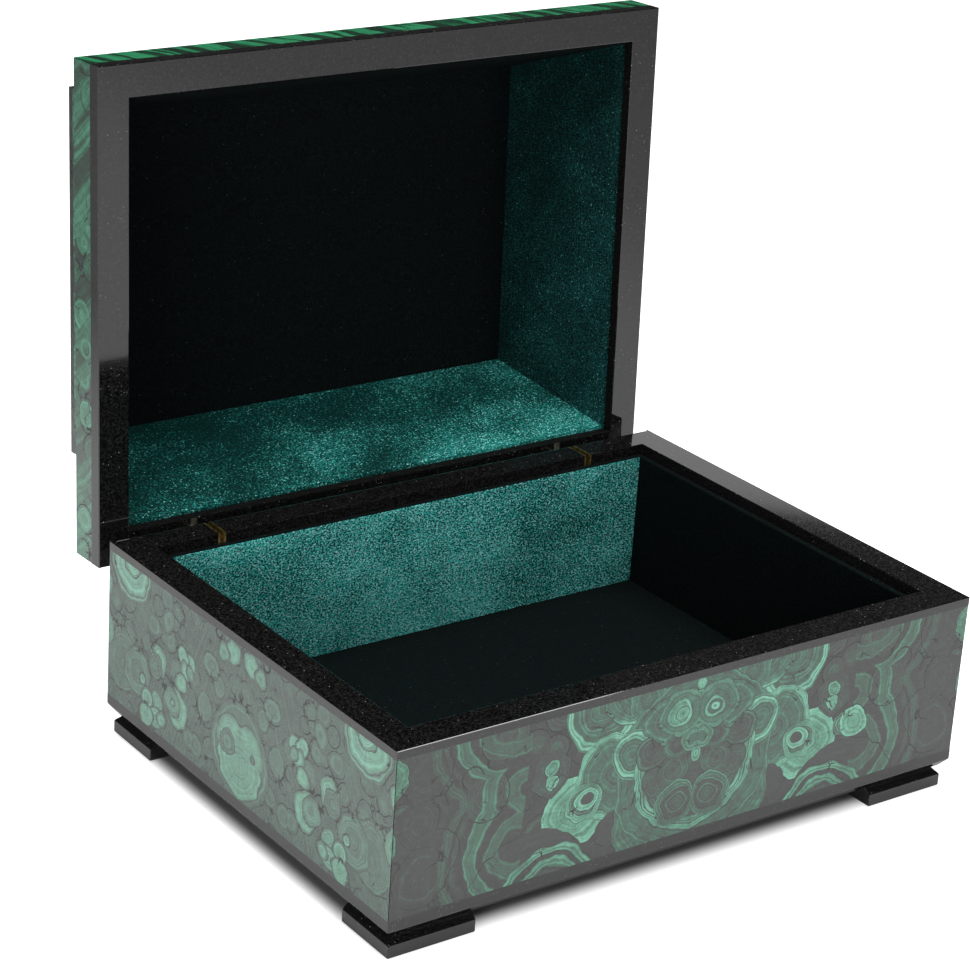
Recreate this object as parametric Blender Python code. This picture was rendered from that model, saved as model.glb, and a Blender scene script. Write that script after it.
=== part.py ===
"""Malachite jewellery casket: a stone box on four feet, with a sloping lid standing open on two fork hinges.

The walls are dark stone slabs with mitred corners. Malachite veneer is let in under their rims, velvet boards line
both halves, and each hinge is a brass fork in the rear wall that holds the pin of a brass tongue set in the lid.
Lengths are in metres, +Z is up, +X is to the right and the front faces -Y.
"""
from math import cos, pi, radians, sin

import bmesh
import bpy
from mathutils import Matrix

MM = 0.001

# Fits
GLUE_GAP = 0.3 * MM
CUT_MARGIN = 1.0 * MM

# Body
BODY_WIDTH = 200.0 * MM
BODY_DEPTH = 150.0 * MM
WALL_HEIGHT = 49.2 * MM
WALL_THICKNESS = 10.0 * MM
RIM_HEIGHT = 2.7 * MM
VENEER_THICKNESS = 2.5 * MM
REAR_EDGE_RADIUS = 1.6 * MM

# Bottom plate and feet
PLATE_EDGE_HEIGHT = 3.3 * MM
PLATE_CHAMFER_HEIGHT = 2.5 * MM
PLATE_CHAMFER_INSET = 2.0 * MM
FOOT_HEIGHT = 6.2 * MM
FOOT_LENGTH = 28.0 * MM
FOOT_DEPTH = 22.0 * MM
FOOT_INSET = 1.5 * MM
FOOT_CHAMFER = 2.5 * MM

# Velvet boards in the body
BOARD_THICKNESS = 2.0 * MM
BOARD_DROP = 3.2 * MM

# Lid
LID_OPEN_ANGLE = radians(92.0)
LID_SEAT_GAP = 0.3 * MM
LID_RIM_HEIGHT = 4.5 * MM
FLANGE_HEIGHT = 14.0 * MM
SLOPE_RUN = 15.0 * MM
SLOPE_RISE = 27.0 * MM
TIER_INSET = 17.5 * MM
TIER_HEIGHT = 9.5 * MM

# Velvet boards in the lid
LID_BOARD_THICKNESS = 1.3 * MM
LID_BOARD_SIDE_GAP = 1.3 * MM
LID_BOARD_DROP = 3.5 * MM
LID_LINING_RISE = 40.0 * MM
LID_LINING_RUN = 13.6 * MM

# Hinges
HINGE_SIDE_DISTANCE = 32.0 * MM
AXIS_INSET = 2.5 * MM
AXIS_DROP = 8.5 * MM
PIN_RADIUS = 0.8 * MM
PIN_PLAY = 0.06 * MM
TONGUE_THICKNESS = 1.0 * MM
TONGUE_SIDE_PLAY = 0.25 * MM
TONGUE_EYE_RADIUS = 1.6 * MM
TONGUE_FRONT_REACH = 4.0 * MM
FORK_CHEEK_THICKNESS = 0.6 * MM
FORK_WEB_HEIGHT = 2.5 * MM
ROOT_THICKNESS = 2.2 * MM
ROOT_HEIGHT = 7.5 * MM
ROOT_COVER = 2.5 * MM
ROUND_STEPS = 24

# Heights and places that follow from the sizes above
PLATE_BOTTOM = FOOT_HEIGHT + GLUE_GAP
PLATE_CHAMFER_TOP = PLATE_BOTTOM + PLATE_CHAMFER_HEIGHT
PLATE_TOP = PLATE_CHAMFER_TOP + PLATE_EDGE_HEIGHT
RIM_TOP = PLATE_TOP + WALL_HEIGHT
BOARD_FLOOR_TOP = PLATE_TOP + GLUE_GAP + BOARD_THICKNESS
SLOPE_TOP = FLANGE_HEIGHT + SLOPE_RISE
LID_HEIGHT = SLOPE_TOP + TIER_HEIGHT
LID_PANEL_BOTTOM = LID_BOARD_DROP + LID_LINING_RISE + GLUE_GAP
LID_PANEL_TOP = LID_PANEL_BOTTOM + LID_BOARD_THICKNESS
AXIS_HEIGHT = RIM_TOP - AXIS_DROP
AXIS_REAR = BODY_DEPTH / 2 - AXIS_INSET
HINGE_OFFSET = BODY_WIDTH / 2 - HINGE_SIDE_DISTANCE
FORK_GAP = TONGUE_THICKNESS + 2 * TONGUE_SIDE_PLAY
FORK_WIDTH = FORK_GAP + 2 * FORK_CHEEK_THICKNESS
FORK_FLOOR = -TONGUE_EYE_RADIUS - TONGUE_SIDE_PLAY
FORK_BOTTOM = FORK_FLOOR - FORK_WEB_HEIGHT

# With the lid standing open, its tier's top edge reaches furthest back
LID_SWING = AXIS_DROP + LID_SEAT_GAP + LID_HEIGHT
LID_REACH = AXIS_REAR + LID_SWING * sin(LID_OPEN_ANGLE)
LID_REACH -= (BODY_DEPTH - AXIS_INSET - TIER_INSET) * cos(LID_OPEN_ANGLE)
ORIGIN_SHIFT = (BODY_DEPTH / 2 - LID_REACH) / 2

# Each side of the box: its length, the distance of its face from the middle, and its turn about Z
SIDES = {
    "front": (BODY_WIDTH, BODY_DEPTH / 2, 0.0),
    "right": (BODY_DEPTH, BODY_WIDTH / 2, pi / 2),
    "back": (BODY_WIDTH, BODY_DEPTH / 2, pi),
    "left": (BODY_DEPTH, BODY_WIDTH / 2, -pi / 2),
}


def clear_scene():
    """Empty the scene before the casket is built."""
    for item in list(bpy.data.objects):
        bpy.data.objects.remove(item, do_unlink=True)


def make_material(name, colour, roughness, metallic=0.0):
    """Make a plain finish of one colour."""
    material = bpy.data.materials.new(name)
    material.use_nodes = True
    shader = material.node_tree.nodes["Principled BSDF"]
    shader.inputs["Base Color"].default_value = (*colour, 1.0)
    shader.inputs["Roughness"].default_value = roughness
    shader.inputs["Metallic"].default_value = metallic
    return material


def make_empty(name, location, parent=None):
    """Add an empty that carries other pieces."""
    empty = bpy.data.objects.new(name, None)
    bpy.context.scene.collection.objects.link(empty)
    empty.location = location
    empty.parent = parent
    return empty


def make_object(name, bm, parent, material=None, turn=0.0, location=(0.0, 0.0, 0.0)):
    """Turn a bmesh into a named object under its carrier; without a material it is a hidden cutting tool."""
    bmesh.ops.recalc_face_normals(bm, faces=bm.faces)
    mesh = bpy.data.meshes.new(name)
    bm.to_mesh(mesh)
    bm.free()
    piece = bpy.data.objects.new(name, mesh)
    bpy.context.scene.collection.objects.link(piece)
    piece.parent = parent
    piece.location = location
    piece.rotation_euler = (0.0, 0.0, turn)
    if material:
        mesh.materials.append(material)
    else:
        piece.hide_render = True
        piece.display_type = "WIRE"
    return piece


def boolean(piece, tool, operation="DIFFERENCE"):
    """Cut a tool out of a piece, or join it on."""
    modifier = piece.modifiers.new(tool.name, "BOOLEAN")
    modifier.operation = operation
    modifier.object = tool
    modifier.solver = "EXACT"


def add_box(bm, low, high):
    """Add a box between two corners and return its vertices."""
    middle = [(a + b) / 2 for a, b in zip(low, high)]
    size = [b - a for a, b in zip(low, high)]
    place = Matrix.Translation(middle) @ Matrix.Diagonal((*size, 1.0))
    return bmesh.ops.create_cube(bm, size=1.0, matrix=place)["verts"]


def add_cross_cylinder(bm, radius, length):
    """Add a round bar along X through the origin."""
    place = Matrix.Rotation(pi / 2, 4, "Y")
    bmesh.ops.create_cone(bm, cap_ends=True, segments=ROUND_STEPS, radius1=radius, radius2=radius, depth=length,
                          matrix=place)


def extrude_outline(bm, outline, thickness):
    """Add a plate across X from an outline of points (y, z)."""
    face = bm.faces.new([bm.verts.new((-thickness / 2, y, z)) for y, z in outline])
    swept = bmesh.ops.extrude_face_region(bm, geom=[face])
    verts = [item for item in swept["geom"] if isinstance(item, bmesh.types.BMVert)]
    bmesh.ops.translate(bm, vec=(thickness, 0.0, 0.0), verts=verts)


def arc(centre, radius, start, end, steps):
    """Return points (a, b) along an arc, both ends included."""
    angles = [start + (end - start) * step / steps for step in range(steps + 1)]
    return [(centre[0] + radius * cos(angle), centre[1] + radius * sin(angle)) for angle in angles]


def mitred_strip(name, profile, side, parent, material, location=(0.0, 0.0, 0.0)):
    """Run a profile of points (inset from the outer face, height) along one side, mitred at both corners."""
    length, half_span, turn = SIDES[side]
    bm = bmesh.new()
    corner = [bm.verts.new((length / 2 - inset - GLUE_GAP / 2, inset - half_span, z)) for inset, z in profile]
    face = bm.faces.new(corner)
    swept = bmesh.ops.extrude_face_region(bm, geom=[face])
    for item in swept["geom"]:
        if isinstance(item, bmesh.types.BMVert):
            item.co.x = -item.co.x
    return make_object(name, bm, parent, material, turn, location)


def rectangle(inset, bottom, thickness, top):
    """Return a strip's profile as a plain rectangle between two insets and two heights."""
    return [(inset, bottom), (inset + thickness, bottom), (inset + thickness, top), (inset, top)]


def inner_slab(name, inset, bottom, top, parent, material, location=(0.0, 0.0, 0.0)):
    """Add a flat slab that stays a given inset inside the body's outline."""
    half_x = BODY_WIDTH / 2 - inset
    half_y = BODY_DEPTH / 2 - inset
    bm = bmesh.new()
    add_box(bm, (-half_x, -half_y, bottom), (half_x, half_y, top))
    return make_object(name, bm, parent, material, location=location)


def build_feet(parent, material):
    """Four low blocks under the corners, each with its two outer top edges cut back."""
    for depth_name, depth_sign in (("front", -1), ("rear", 1)):
        for width_name, width_sign in (("left", -1), ("right", 1)):
            corner_x = width_sign * (BODY_WIDTH / 2 - FOOT_INSET)
            corner_y = depth_sign * (BODY_DEPTH / 2 - FOOT_INSET)
            xs = sorted((corner_x, corner_x - width_sign * FOOT_LENGTH))
            ys = sorted((corner_y, corner_y - depth_sign * FOOT_DEPTH))
            bm = bmesh.new()
            add_box(bm, (xs[0], ys[0], 0.0), (xs[1], ys[1], FOOT_HEIGHT))
            outer_edges = []
            for edge in bm.edges:
                ends = [vert.co for vert in edge.verts]
                on_top = all(abs(end.z - FOOT_HEIGHT) < GLUE_GAP for end in ends)
                on_side = all(abs(end.x - corner_x) < GLUE_GAP for end in ends)
                on_face = all(abs(end.y - corner_y) < GLUE_GAP for end in ends)
                if on_top and (on_side or on_face):
                    outer_edges.append(edge)
            bmesh.ops.bevel(bm, geom=outer_edges, offset=FOOT_CHAMFER, segments=1, profile=0.5, affect="EDGES",
                            material=-1)
            make_object(f"foot_{depth_name}_{width_name}", bm, parent, material)


def build_plate(parent, material):
    """The bottom plate, full size at its edge and cut back below."""
    half_x = BODY_WIDTH / 2
    half_y = BODY_DEPTH / 2
    bm = bmesh.new()
    verts = add_box(bm, (-half_x, -half_y, PLATE_CHAMFER_TOP), (half_x, half_y, PLATE_TOP))
    under = next(face for face in bm.faces if all(vert.co.z < PLATE_CHAMFER_TOP + GLUE_GAP for vert in face.verts))
    swept = bmesh.ops.extrude_face_region(bm, geom=[under])
    for item in swept["geom"]:
        if isinstance(item, bmesh.types.BMVert) and item not in verts:
            item.co.x -= PLATE_CHAMFER_INSET * (1 if item.co.x > 0 else -1)
            item.co.y -= PLATE_CHAMFER_INSET * (1 if item.co.y > 0 else -1)
            item.co.z = PLATE_BOTTOM
    bmesh.ops.delete(bm, geom=[face for face in bm.faces if face == under], context="FACES_ONLY")
    make_object("bottom_plate", bm, parent, material)


def build_body(parent, stone, malachite):
    """The four walls with their overhanging rims, and the veneer let in below the rims."""
    foot = PLATE_TOP + GLUE_GAP
    lip = RIM_TOP - RIM_HEIGHT
    slots = [make_body_slot(name, sign, parent) for name, sign in (("left", -1), ("right", 1))]
    for side in SIDES:
        rim_edge = [(0.0, RIM_TOP)]
        if side == "back":
            rim_edge = arc((REAR_EDGE_RADIUS, RIM_TOP - REAR_EDGE_RADIUS), REAR_EDGE_RADIUS, pi / 2, pi, 4)
        profile = [(0.0, lip), (VENEER_THICKNESS, lip), (VENEER_THICKNESS, foot), (WALL_THICKNESS, foot)]
        profile += [(WALL_THICKNESS, RIM_TOP)] + rim_edge
        wall = mitred_strip(f"body_wall_{side}", profile, side, parent, stone)
        sheet = rectangle(0.0, foot, VENEER_THICKNESS - GLUE_GAP, lip - GLUE_GAP)
        veneer = mitred_strip(f"body_veneer_{side}", sheet, side, parent, malachite)
        if side == "back":
            for slot in slots:
                boolean(wall, slot)
                boolean(veneer, slot)


def build_body_lining(parent, velvet):
    """Velvet boards on the floor and up the walls, stopping short of the rim."""
    inside = WALL_THICKNESS + GLUE_GAP
    inner_slab("body_lining_floor", inside, PLATE_TOP + GLUE_GAP, BOARD_FLOOR_TOP, parent, velvet)
    for side in SIDES:
        board = rectangle(inside, BOARD_FLOOR_TOP + GLUE_GAP, BOARD_THICKNESS, RIM_TOP - BOARD_DROP)
        mitred_strip(f"body_lining_{side}", board, side, parent, velvet)


def make_body_slot(name, sign, parent):
    """The slot for one hinge fork, open at the rim and through the rear wall."""
    half_width = FORK_WIDTH / 2 + GLUE_GAP
    x = sign * HINGE_OFFSET
    rear = BODY_DEPTH / 2
    bm = bmesh.new()
    low = (x - half_width, rear - WALL_THICKNESS - CUT_MARGIN, AXIS_HEIGHT + FORK_BOTTOM - GLUE_GAP)
    add_box(bm, low, (x + half_width, rear + CUT_MARGIN, RIM_TOP + CUT_MARGIN))
    return make_object(f"body_slot_{name}", bm, parent)


def make_lid_slot(name, sign, parent, location):
    """The blind slot for one tongue's root in the lid's rear wall, open at the rim and to the inside."""
    half_width = ROOT_THICKNESS / 2 + GLUE_GAP
    x = sign * HINGE_OFFSET
    rear = BODY_DEPTH / 2
    bm = bmesh.new()
    low = (x - half_width, rear - WALL_THICKNESS - CUT_MARGIN, -CUT_MARGIN)
    add_box(bm, low, (x + half_width, rear - ROOT_COVER + GLUE_GAP, ROOT_HEIGHT + GLUE_GAP))
    return make_object(f"lid_slot_{name}", bm, parent, location=location)


def build_fork(name, sign, parent, brass):
    """A brass block with a milled gap and a cross bore, flush with the rim and with both faces of the rear wall."""
    place = (sign * HINGE_OFFSET, AXIS_REAR, AXIS_HEIGHT)
    rear = AXIS_INSET
    front = AXIS_INSET - WALL_THICKNESS
    radius = REAR_EDGE_RADIUS
    outline = [(rear, FORK_BOTTOM), (rear, AXIS_DROP - radius)]
    outline += arc((rear - radius, AXIS_DROP - radius), radius, 0.0, pi / 2, 4)
    outline += [(front, AXIS_DROP), (front, FORK_BOTTOM)]
    bm = bmesh.new()
    extrude_outline(bm, outline, FORK_WIDTH)
    fork = make_object(f"hinge_fork_{name}", bm, parent, brass, location=place)

    bm = bmesh.new()
    low = (-FORK_GAP / 2, front - CUT_MARGIN, FORK_FLOOR)
    add_box(bm, low, (FORK_GAP / 2, rear + CUT_MARGIN, AXIS_DROP + CUT_MARGIN))
    boolean(fork, make_object(f"fork_gap_{name}", bm, parent, location=place))

    bm = bmesh.new()
    add_cross_cylinder(bm, PIN_RADIUS + PIN_PLAY, FORK_WIDTH + 2 * CUT_MARGIN)
    boolean(fork, make_object(f"fork_bore_{name}", bm, parent, location=place))

    bm = bmesh.new()
    add_cross_cylinder(bm, PIN_RADIUS, FORK_WIDTH)
    pin = make_object(f"hinge_pin_{name}", bm, parent, brass, location=place)
    pin.data.shade_smooth()
    pin.data.set_sharp_from_angle(angle=radians(40.0))


def build_tongue(name, sign, parent, brass):
    """The lid's half of a hinge: a root block in the lid's rear wall, and a tongue with an eye for the pin."""
    place = (sign * HINGE_OFFSET, 0.0, 0.0)
    rim = AXIS_DROP + LID_SEAT_GAP
    root_front = AXIS_INSET - WALL_THICKNESS + GLUE_GAP
    root_rear = AXIS_INSET - ROOT_COVER
    bm = bmesh.new()
    low = (-ROOT_THICKNESS / 2, root_front, rim)
    add_box(bm, low, (ROOT_THICKNESS / 2, root_rear, rim + ROOT_HEIGHT))
    tongue = make_object(f"hinge_tongue_{name}", bm, parent, brass, location=place)

    eye = arc((0.0, 0.0), TONGUE_EYE_RADIUS, 0.0, -pi, ROUND_STEPS // 2)
    shoulder = TONGUE_FRONT_REACH - TONGUE_EYE_RADIUS
    inside_root = rim + ROOT_HEIGHT / 2
    slant_end = rim - shoulder
    outline = eye + [(-TONGUE_FRONT_REACH, shoulder), (-TONGUE_FRONT_REACH, inside_root)]
    outline += [(root_rear - GLUE_GAP, inside_root), (root_rear - GLUE_GAP, rim - GLUE_GAP)]
    outline += [(TONGUE_EYE_RADIUS, slant_end)]
    bm = bmesh.new()
    extrude_outline(bm, outline, TONGUE_THICKNESS)
    boolean(tongue, make_object(f"tongue_arm_{name}", bm, parent, location=place), "UNION")

    bm = bmesh.new()
    add_cross_cylinder(bm, PIN_RADIUS + PIN_PLAY, ROOT_THICKNESS + 2 * CUT_MARGIN)
    boolean(tongue, make_object(f"tongue_bore_{name}", bm, parent, location=place))


def lining_inset(height):
    """Return the inset of the sloping lid boards' front face at a height."""
    lean = LID_LINING_RUN / LID_LINING_RISE
    return WALL_THICKNESS + LID_BOARD_SIDE_GAP + (height - LID_BOARD_DROP) * lean


def bed_inset(height):
    """Return the inset of the stone behind the sloping lid boards at a height."""
    return lining_inset(height) - LID_BOARD_THICKNESS - GLUE_GAP


def lid_wall_profile():
    """Return a lid wall's profile: the rim, the bed of the velvet board, and the beds of the outer veneers."""
    shelf = LID_BOARD_DROP - GLUE_GAP
    tier_bed = TIER_INSET + VENEER_THICKNESS
    slope_bed = VENEER_THICKNESS + GLUE_GAP
    inside = [(0.0, 0.0), (WALL_THICKNESS, 0.0), (WALL_THICKNESS, shelf), (bed_inset(shelf), shelf)]
    top = [(bed_inset(LID_PANEL_TOP), LID_PANEL_TOP), (tier_bed, LID_PANEL_TOP), (tier_bed, SLOPE_TOP)]
    outside = [(SLOPE_RUN + slope_bed, SLOPE_TOP), (slope_bed, FLANGE_HEIGHT + GLUE_GAP)]
    outside += [(VENEER_THICKNESS, FLANGE_HEIGHT), (VENEER_THICKNESS, LID_RIM_HEIGHT), (0.0, LID_RIM_HEIGHT)]
    return inside + top + outside


def build_lid(parent, location, stone, malachite):
    """The lid's rim walls, the malachite band and slopes on them, and the raised plate on top."""
    tier_top = LID_HEIGHT - VENEER_THICKNESS - GLUE_GAP
    slope_foot = FLANGE_HEIGHT + GLUE_GAP
    slots = [make_lid_slot(name, sign, parent, location) for name, sign in (("left", -1), ("right", 1))]
    for side in SIDES:
        wall = mitred_strip(f"lid_wall_{side}", lid_wall_profile(), side, parent, stone, location)
        if side == "back":
            for slot in slots:
                boolean(wall, slot)
        band = rectangle(0.0, LID_RIM_HEIGHT + GLUE_GAP, VENEER_THICKNESS - GLUE_GAP, FLANGE_HEIGHT)
        mitred_strip(f"lid_veneer_{side}", band, side, parent, malachite, location)
        slope = [(0.0, slope_foot), (VENEER_THICKNESS, slope_foot)]
        slope += [(SLOPE_RUN + VENEER_THICKNESS, SLOPE_TOP), (SLOPE_RUN, SLOPE_TOP)]
        mitred_strip(f"lid_slope_{side}", slope, side, parent, malachite, location)
        edge = rectangle(TIER_INSET, SLOPE_TOP + GLUE_GAP, VENEER_THICKNESS - GLUE_GAP, tier_top)
        mitred_strip(f"tier_veneer_{side}", edge, side, parent, malachite, location)
    slab_inset = TIER_INSET + VENEER_THICKNESS
    inner_slab("lid_top_slab", slab_inset, LID_PANEL_TOP + GLUE_GAP, tier_top, parent, stone, location)
    inner_slab("lid_top_veneer", TIER_INSET, tier_top + GLUE_GAP, LID_HEIGHT, parent, malachite, location)


def build_lid_lining(parent, location, velvet):
    """Steep velvet boards inside the lid, and the flat board that rests on their upper edges."""
    low = LID_BOARD_DROP
    high = LID_BOARD_DROP + LID_LINING_RISE
    back = LID_BOARD_THICKNESS
    profile = [(lining_inset(low), low), (lining_inset(high), high)]
    profile += [(lining_inset(high) - back, high), (lining_inset(low) - back, low)]
    for side in SIDES:
        mitred_strip(f"lid_lining_{side}", profile, side, parent, velvet, location)
    inset = bed_inset(LID_PANEL_TOP) + GLUE_GAP
    inner_slab("lid_lining_top", inset, LID_PANEL_BOTTOM, LID_PANEL_TOP, parent, velvet, location)


def main():
    """Build the casket with its lid standing open."""
    clear_scene()
    stone = make_material("dark_stone", (0.016, 0.016, 0.018), 0.12)
    malachite = make_material("malachite", (0.015, 0.17, 0.085), 0.12)
    velvet = make_material("velvet", (0.008, 0.10, 0.095), 0.9)
    brass = make_material("brass", (0.62, 0.50, 0.20), 0.35, 1.0)

    casket = make_empty("casket", (0.0, ORIGIN_SHIFT, 0.0))
    build_feet(casket, stone)
    build_plate(casket, stone)
    build_body(casket, stone, malachite)
    build_body_lining(casket, velvet)

    lid_axis = make_empty("lid_axis", (0.0, AXIS_REAR, AXIS_HEIGHT), casket)
    lid_axis.rotation_euler = (-LID_OPEN_ANGLE, 0.0, 0.0)
    lid_place = (0.0, -AXIS_REAR, AXIS_DROP + LID_SEAT_GAP)
    build_lid(lid_axis, lid_place, stone, malachite)
    build_lid_lining(lid_axis, lid_place, velvet)
    for name, sign in (("left", -1), ("right", 1)):
        build_fork(name, sign, casket, brass)
        build_tongue(name, sign, lid_axis, brass)


main()
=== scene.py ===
"""Dress the malachite jewellery casket: polished stone, banded malachite, velvet boards and brass hinges."""
import logging
from dataclasses import dataclass, field
from enum import Enum
from math import pi, radians
from typing import Optional, Sequence, Union

import bmesh
import bpy
from mathutils import Matrix, Vector


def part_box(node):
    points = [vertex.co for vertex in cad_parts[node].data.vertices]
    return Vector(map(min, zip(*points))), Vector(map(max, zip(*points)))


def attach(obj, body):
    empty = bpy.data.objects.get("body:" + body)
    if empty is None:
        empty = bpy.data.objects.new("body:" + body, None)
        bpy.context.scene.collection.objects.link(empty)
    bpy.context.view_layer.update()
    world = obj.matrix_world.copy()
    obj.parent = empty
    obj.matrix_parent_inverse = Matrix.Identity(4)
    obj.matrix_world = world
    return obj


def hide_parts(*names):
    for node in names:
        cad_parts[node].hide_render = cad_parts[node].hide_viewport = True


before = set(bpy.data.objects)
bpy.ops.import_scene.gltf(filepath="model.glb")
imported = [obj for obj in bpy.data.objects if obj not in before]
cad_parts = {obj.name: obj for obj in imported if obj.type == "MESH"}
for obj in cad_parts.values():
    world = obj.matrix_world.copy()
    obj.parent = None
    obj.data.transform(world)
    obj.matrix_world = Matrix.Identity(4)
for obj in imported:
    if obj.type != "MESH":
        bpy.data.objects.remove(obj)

log = logging.getLogger("casket")

MM = 0.001
NEAR = MM / 100
SHARP = radians(20.0)
TONE_ACROSS = 0.0949
TONE_UP = 0.0403
SURFACE_UV = "surface"

# The Mix node keeps its sockets apart by kind of data: first input, second input, result
VECTOR_SOCKETS = (4, 5, 1)
COLOUR_SOCKETS = (6, 7, 2)

Socket = bpy.types.NodeSocket
Material = bpy.types.Material
Piece = bpy.types.Object
Shape = bmesh.types.BMesh
Edges = list[bmesh.types.BMEdge]
Number = Union[float, Socket]
Triple = Union[Sequence[float], Socket]
Range = tuple[float, float]
Colour = tuple[float, float, float]
Profile = Sequence[tuple[float, float]]
Box = tuple[Vector, Vector]


class Side(Enum):
    """The four sides of the casket, each with its turn about Z from the front."""

    FRONT = 0.0
    RIGHT = pi / 2
    BACK = pi
    LEFT = -pi / 2

    @property
    def label(self) -> str:
        """The side's name as the pieces carry it."""
        return self.name.lower()

    @property
    def is_long(self) -> bool:
        """Whether the side runs along the casket's width."""
        return self in (Side.FRONT, Side.BACK)


class Row(Enum):
    """The front or the rear pair of feet."""

    FRONT = "front"
    REAR = "rear"


class Hand(Enum):
    """The left or the right one of a pair of feet or hinges."""

    LEFT = "left"
    RIGHT = "right"


class Nap(Enum):
    """How much painted light each velvet copy carries in its colour, from lit to in painted shade."""

    # Each level is the same velvet, made paler or darker by light and shade painted into its colour.
    RAISED = "raised"
    BRUSHED = "brushed"
    TURNED = "turned"
    FLAT = "flat"


class Match(Enum):
    """How slices of malachite are laid so that their growths mirror each other."""

    NONE = "none"
    HALVES = "halves"
    QUARTERS = "quarters"


class Half(Enum):
    """The half of a face that a growth is in, as the sign of the distance along it."""

    BOTH = 0.0
    LEFT = -1.0
    RIGHT = 1.0


class Body(Enum):
    """The two bodies that pieces ride on."""

    BASE = "base"
    LID = "lid"


class Slot(Enum):
    """The record's material slots."""

    STONE = "dark_stone"
    MALACHITE = "malachite"
    VELVET = "velvet"
    BRASS = "brass"


@dataclass(frozen=True)
class Layout:
    """Sizes that the base and the lid share, in metres, taken from the solids where they show them."""

    veneer: float = 2.5 * MM
    axis_inset: float = 2.5 * MM
    axis_drop: float = 8.5 * MM
    seat_gap: float = 0.3 * MM
    open_angle: float = radians(92.0)
    corner_seam: float = 0.12 * MM
    arris: float = 0.25 * MM

    @property
    def width(self) -> float:
        """The casket's length from left to right."""
        low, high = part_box("bottom_plate")
        return high[0] - low[0]

    @property
    def depth(self) -> float:
        """The casket's length from front to rear, closed."""
        low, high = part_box("bottom_plate")
        return high[1] - low[1]

    @property
    def wall(self) -> float:
        """The thickness of the walls with their veneer."""
        low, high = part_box("body_wall_left")
        return high[0] - low[0]

    @property
    def rim_top(self) -> float:
        """The height of the base's rim."""
        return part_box("body_wall_front")[1][2]

    @property
    def middle(self) -> Vector:
        """The middle of the base in the frame of the solids, at the height of the floor."""
        low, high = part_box("bottom_plate")
        return Vector((0.0, (low[1] + high[1]) / 2, 0.0))

    @property
    def base_place(self) -> Matrix:
        """The place of the base's pieces."""
        return Matrix.Translation(self.middle)

    @property
    def lid_place(self) -> Matrix:
        """Give the place of the lid's pieces, which are built closed with their rim at height zero.

        Returns:
            The place of the open lid.
        """
        axis_rear = self.depth / 2 - self.axis_inset
        axis = Matrix.Translation(self.middle + Vector((0.0, axis_rear, self.rim_top - self.axis_drop)))
        swing = Matrix.Rotation(-self.open_angle, 4, "X")
        return axis @ swing @ Matrix.Translation((0.0, -axis_rear, self.axis_drop + self.seat_gap))

    def span(self, side: Side) -> tuple[float, float]:
        """Give a side's length and its face's distance from the middle.

        Args:
            side: The side asked for.

        Returns:
            The length along the side and the distance of its outer face.
        """
        if side.is_long:
            return self.width, self.depth / 2
        return self.depth, self.width / 2

    def own_box(self, node: str) -> Box:
        """Give a base solid's box, measured from the base's middle.

        Args:
            node: The solid's name.

        Returns:
            Its lowest and its highest corner.
        """
        low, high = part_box(node)
        return Vector(low) - self.middle, Vector(high) - self.middle


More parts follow.
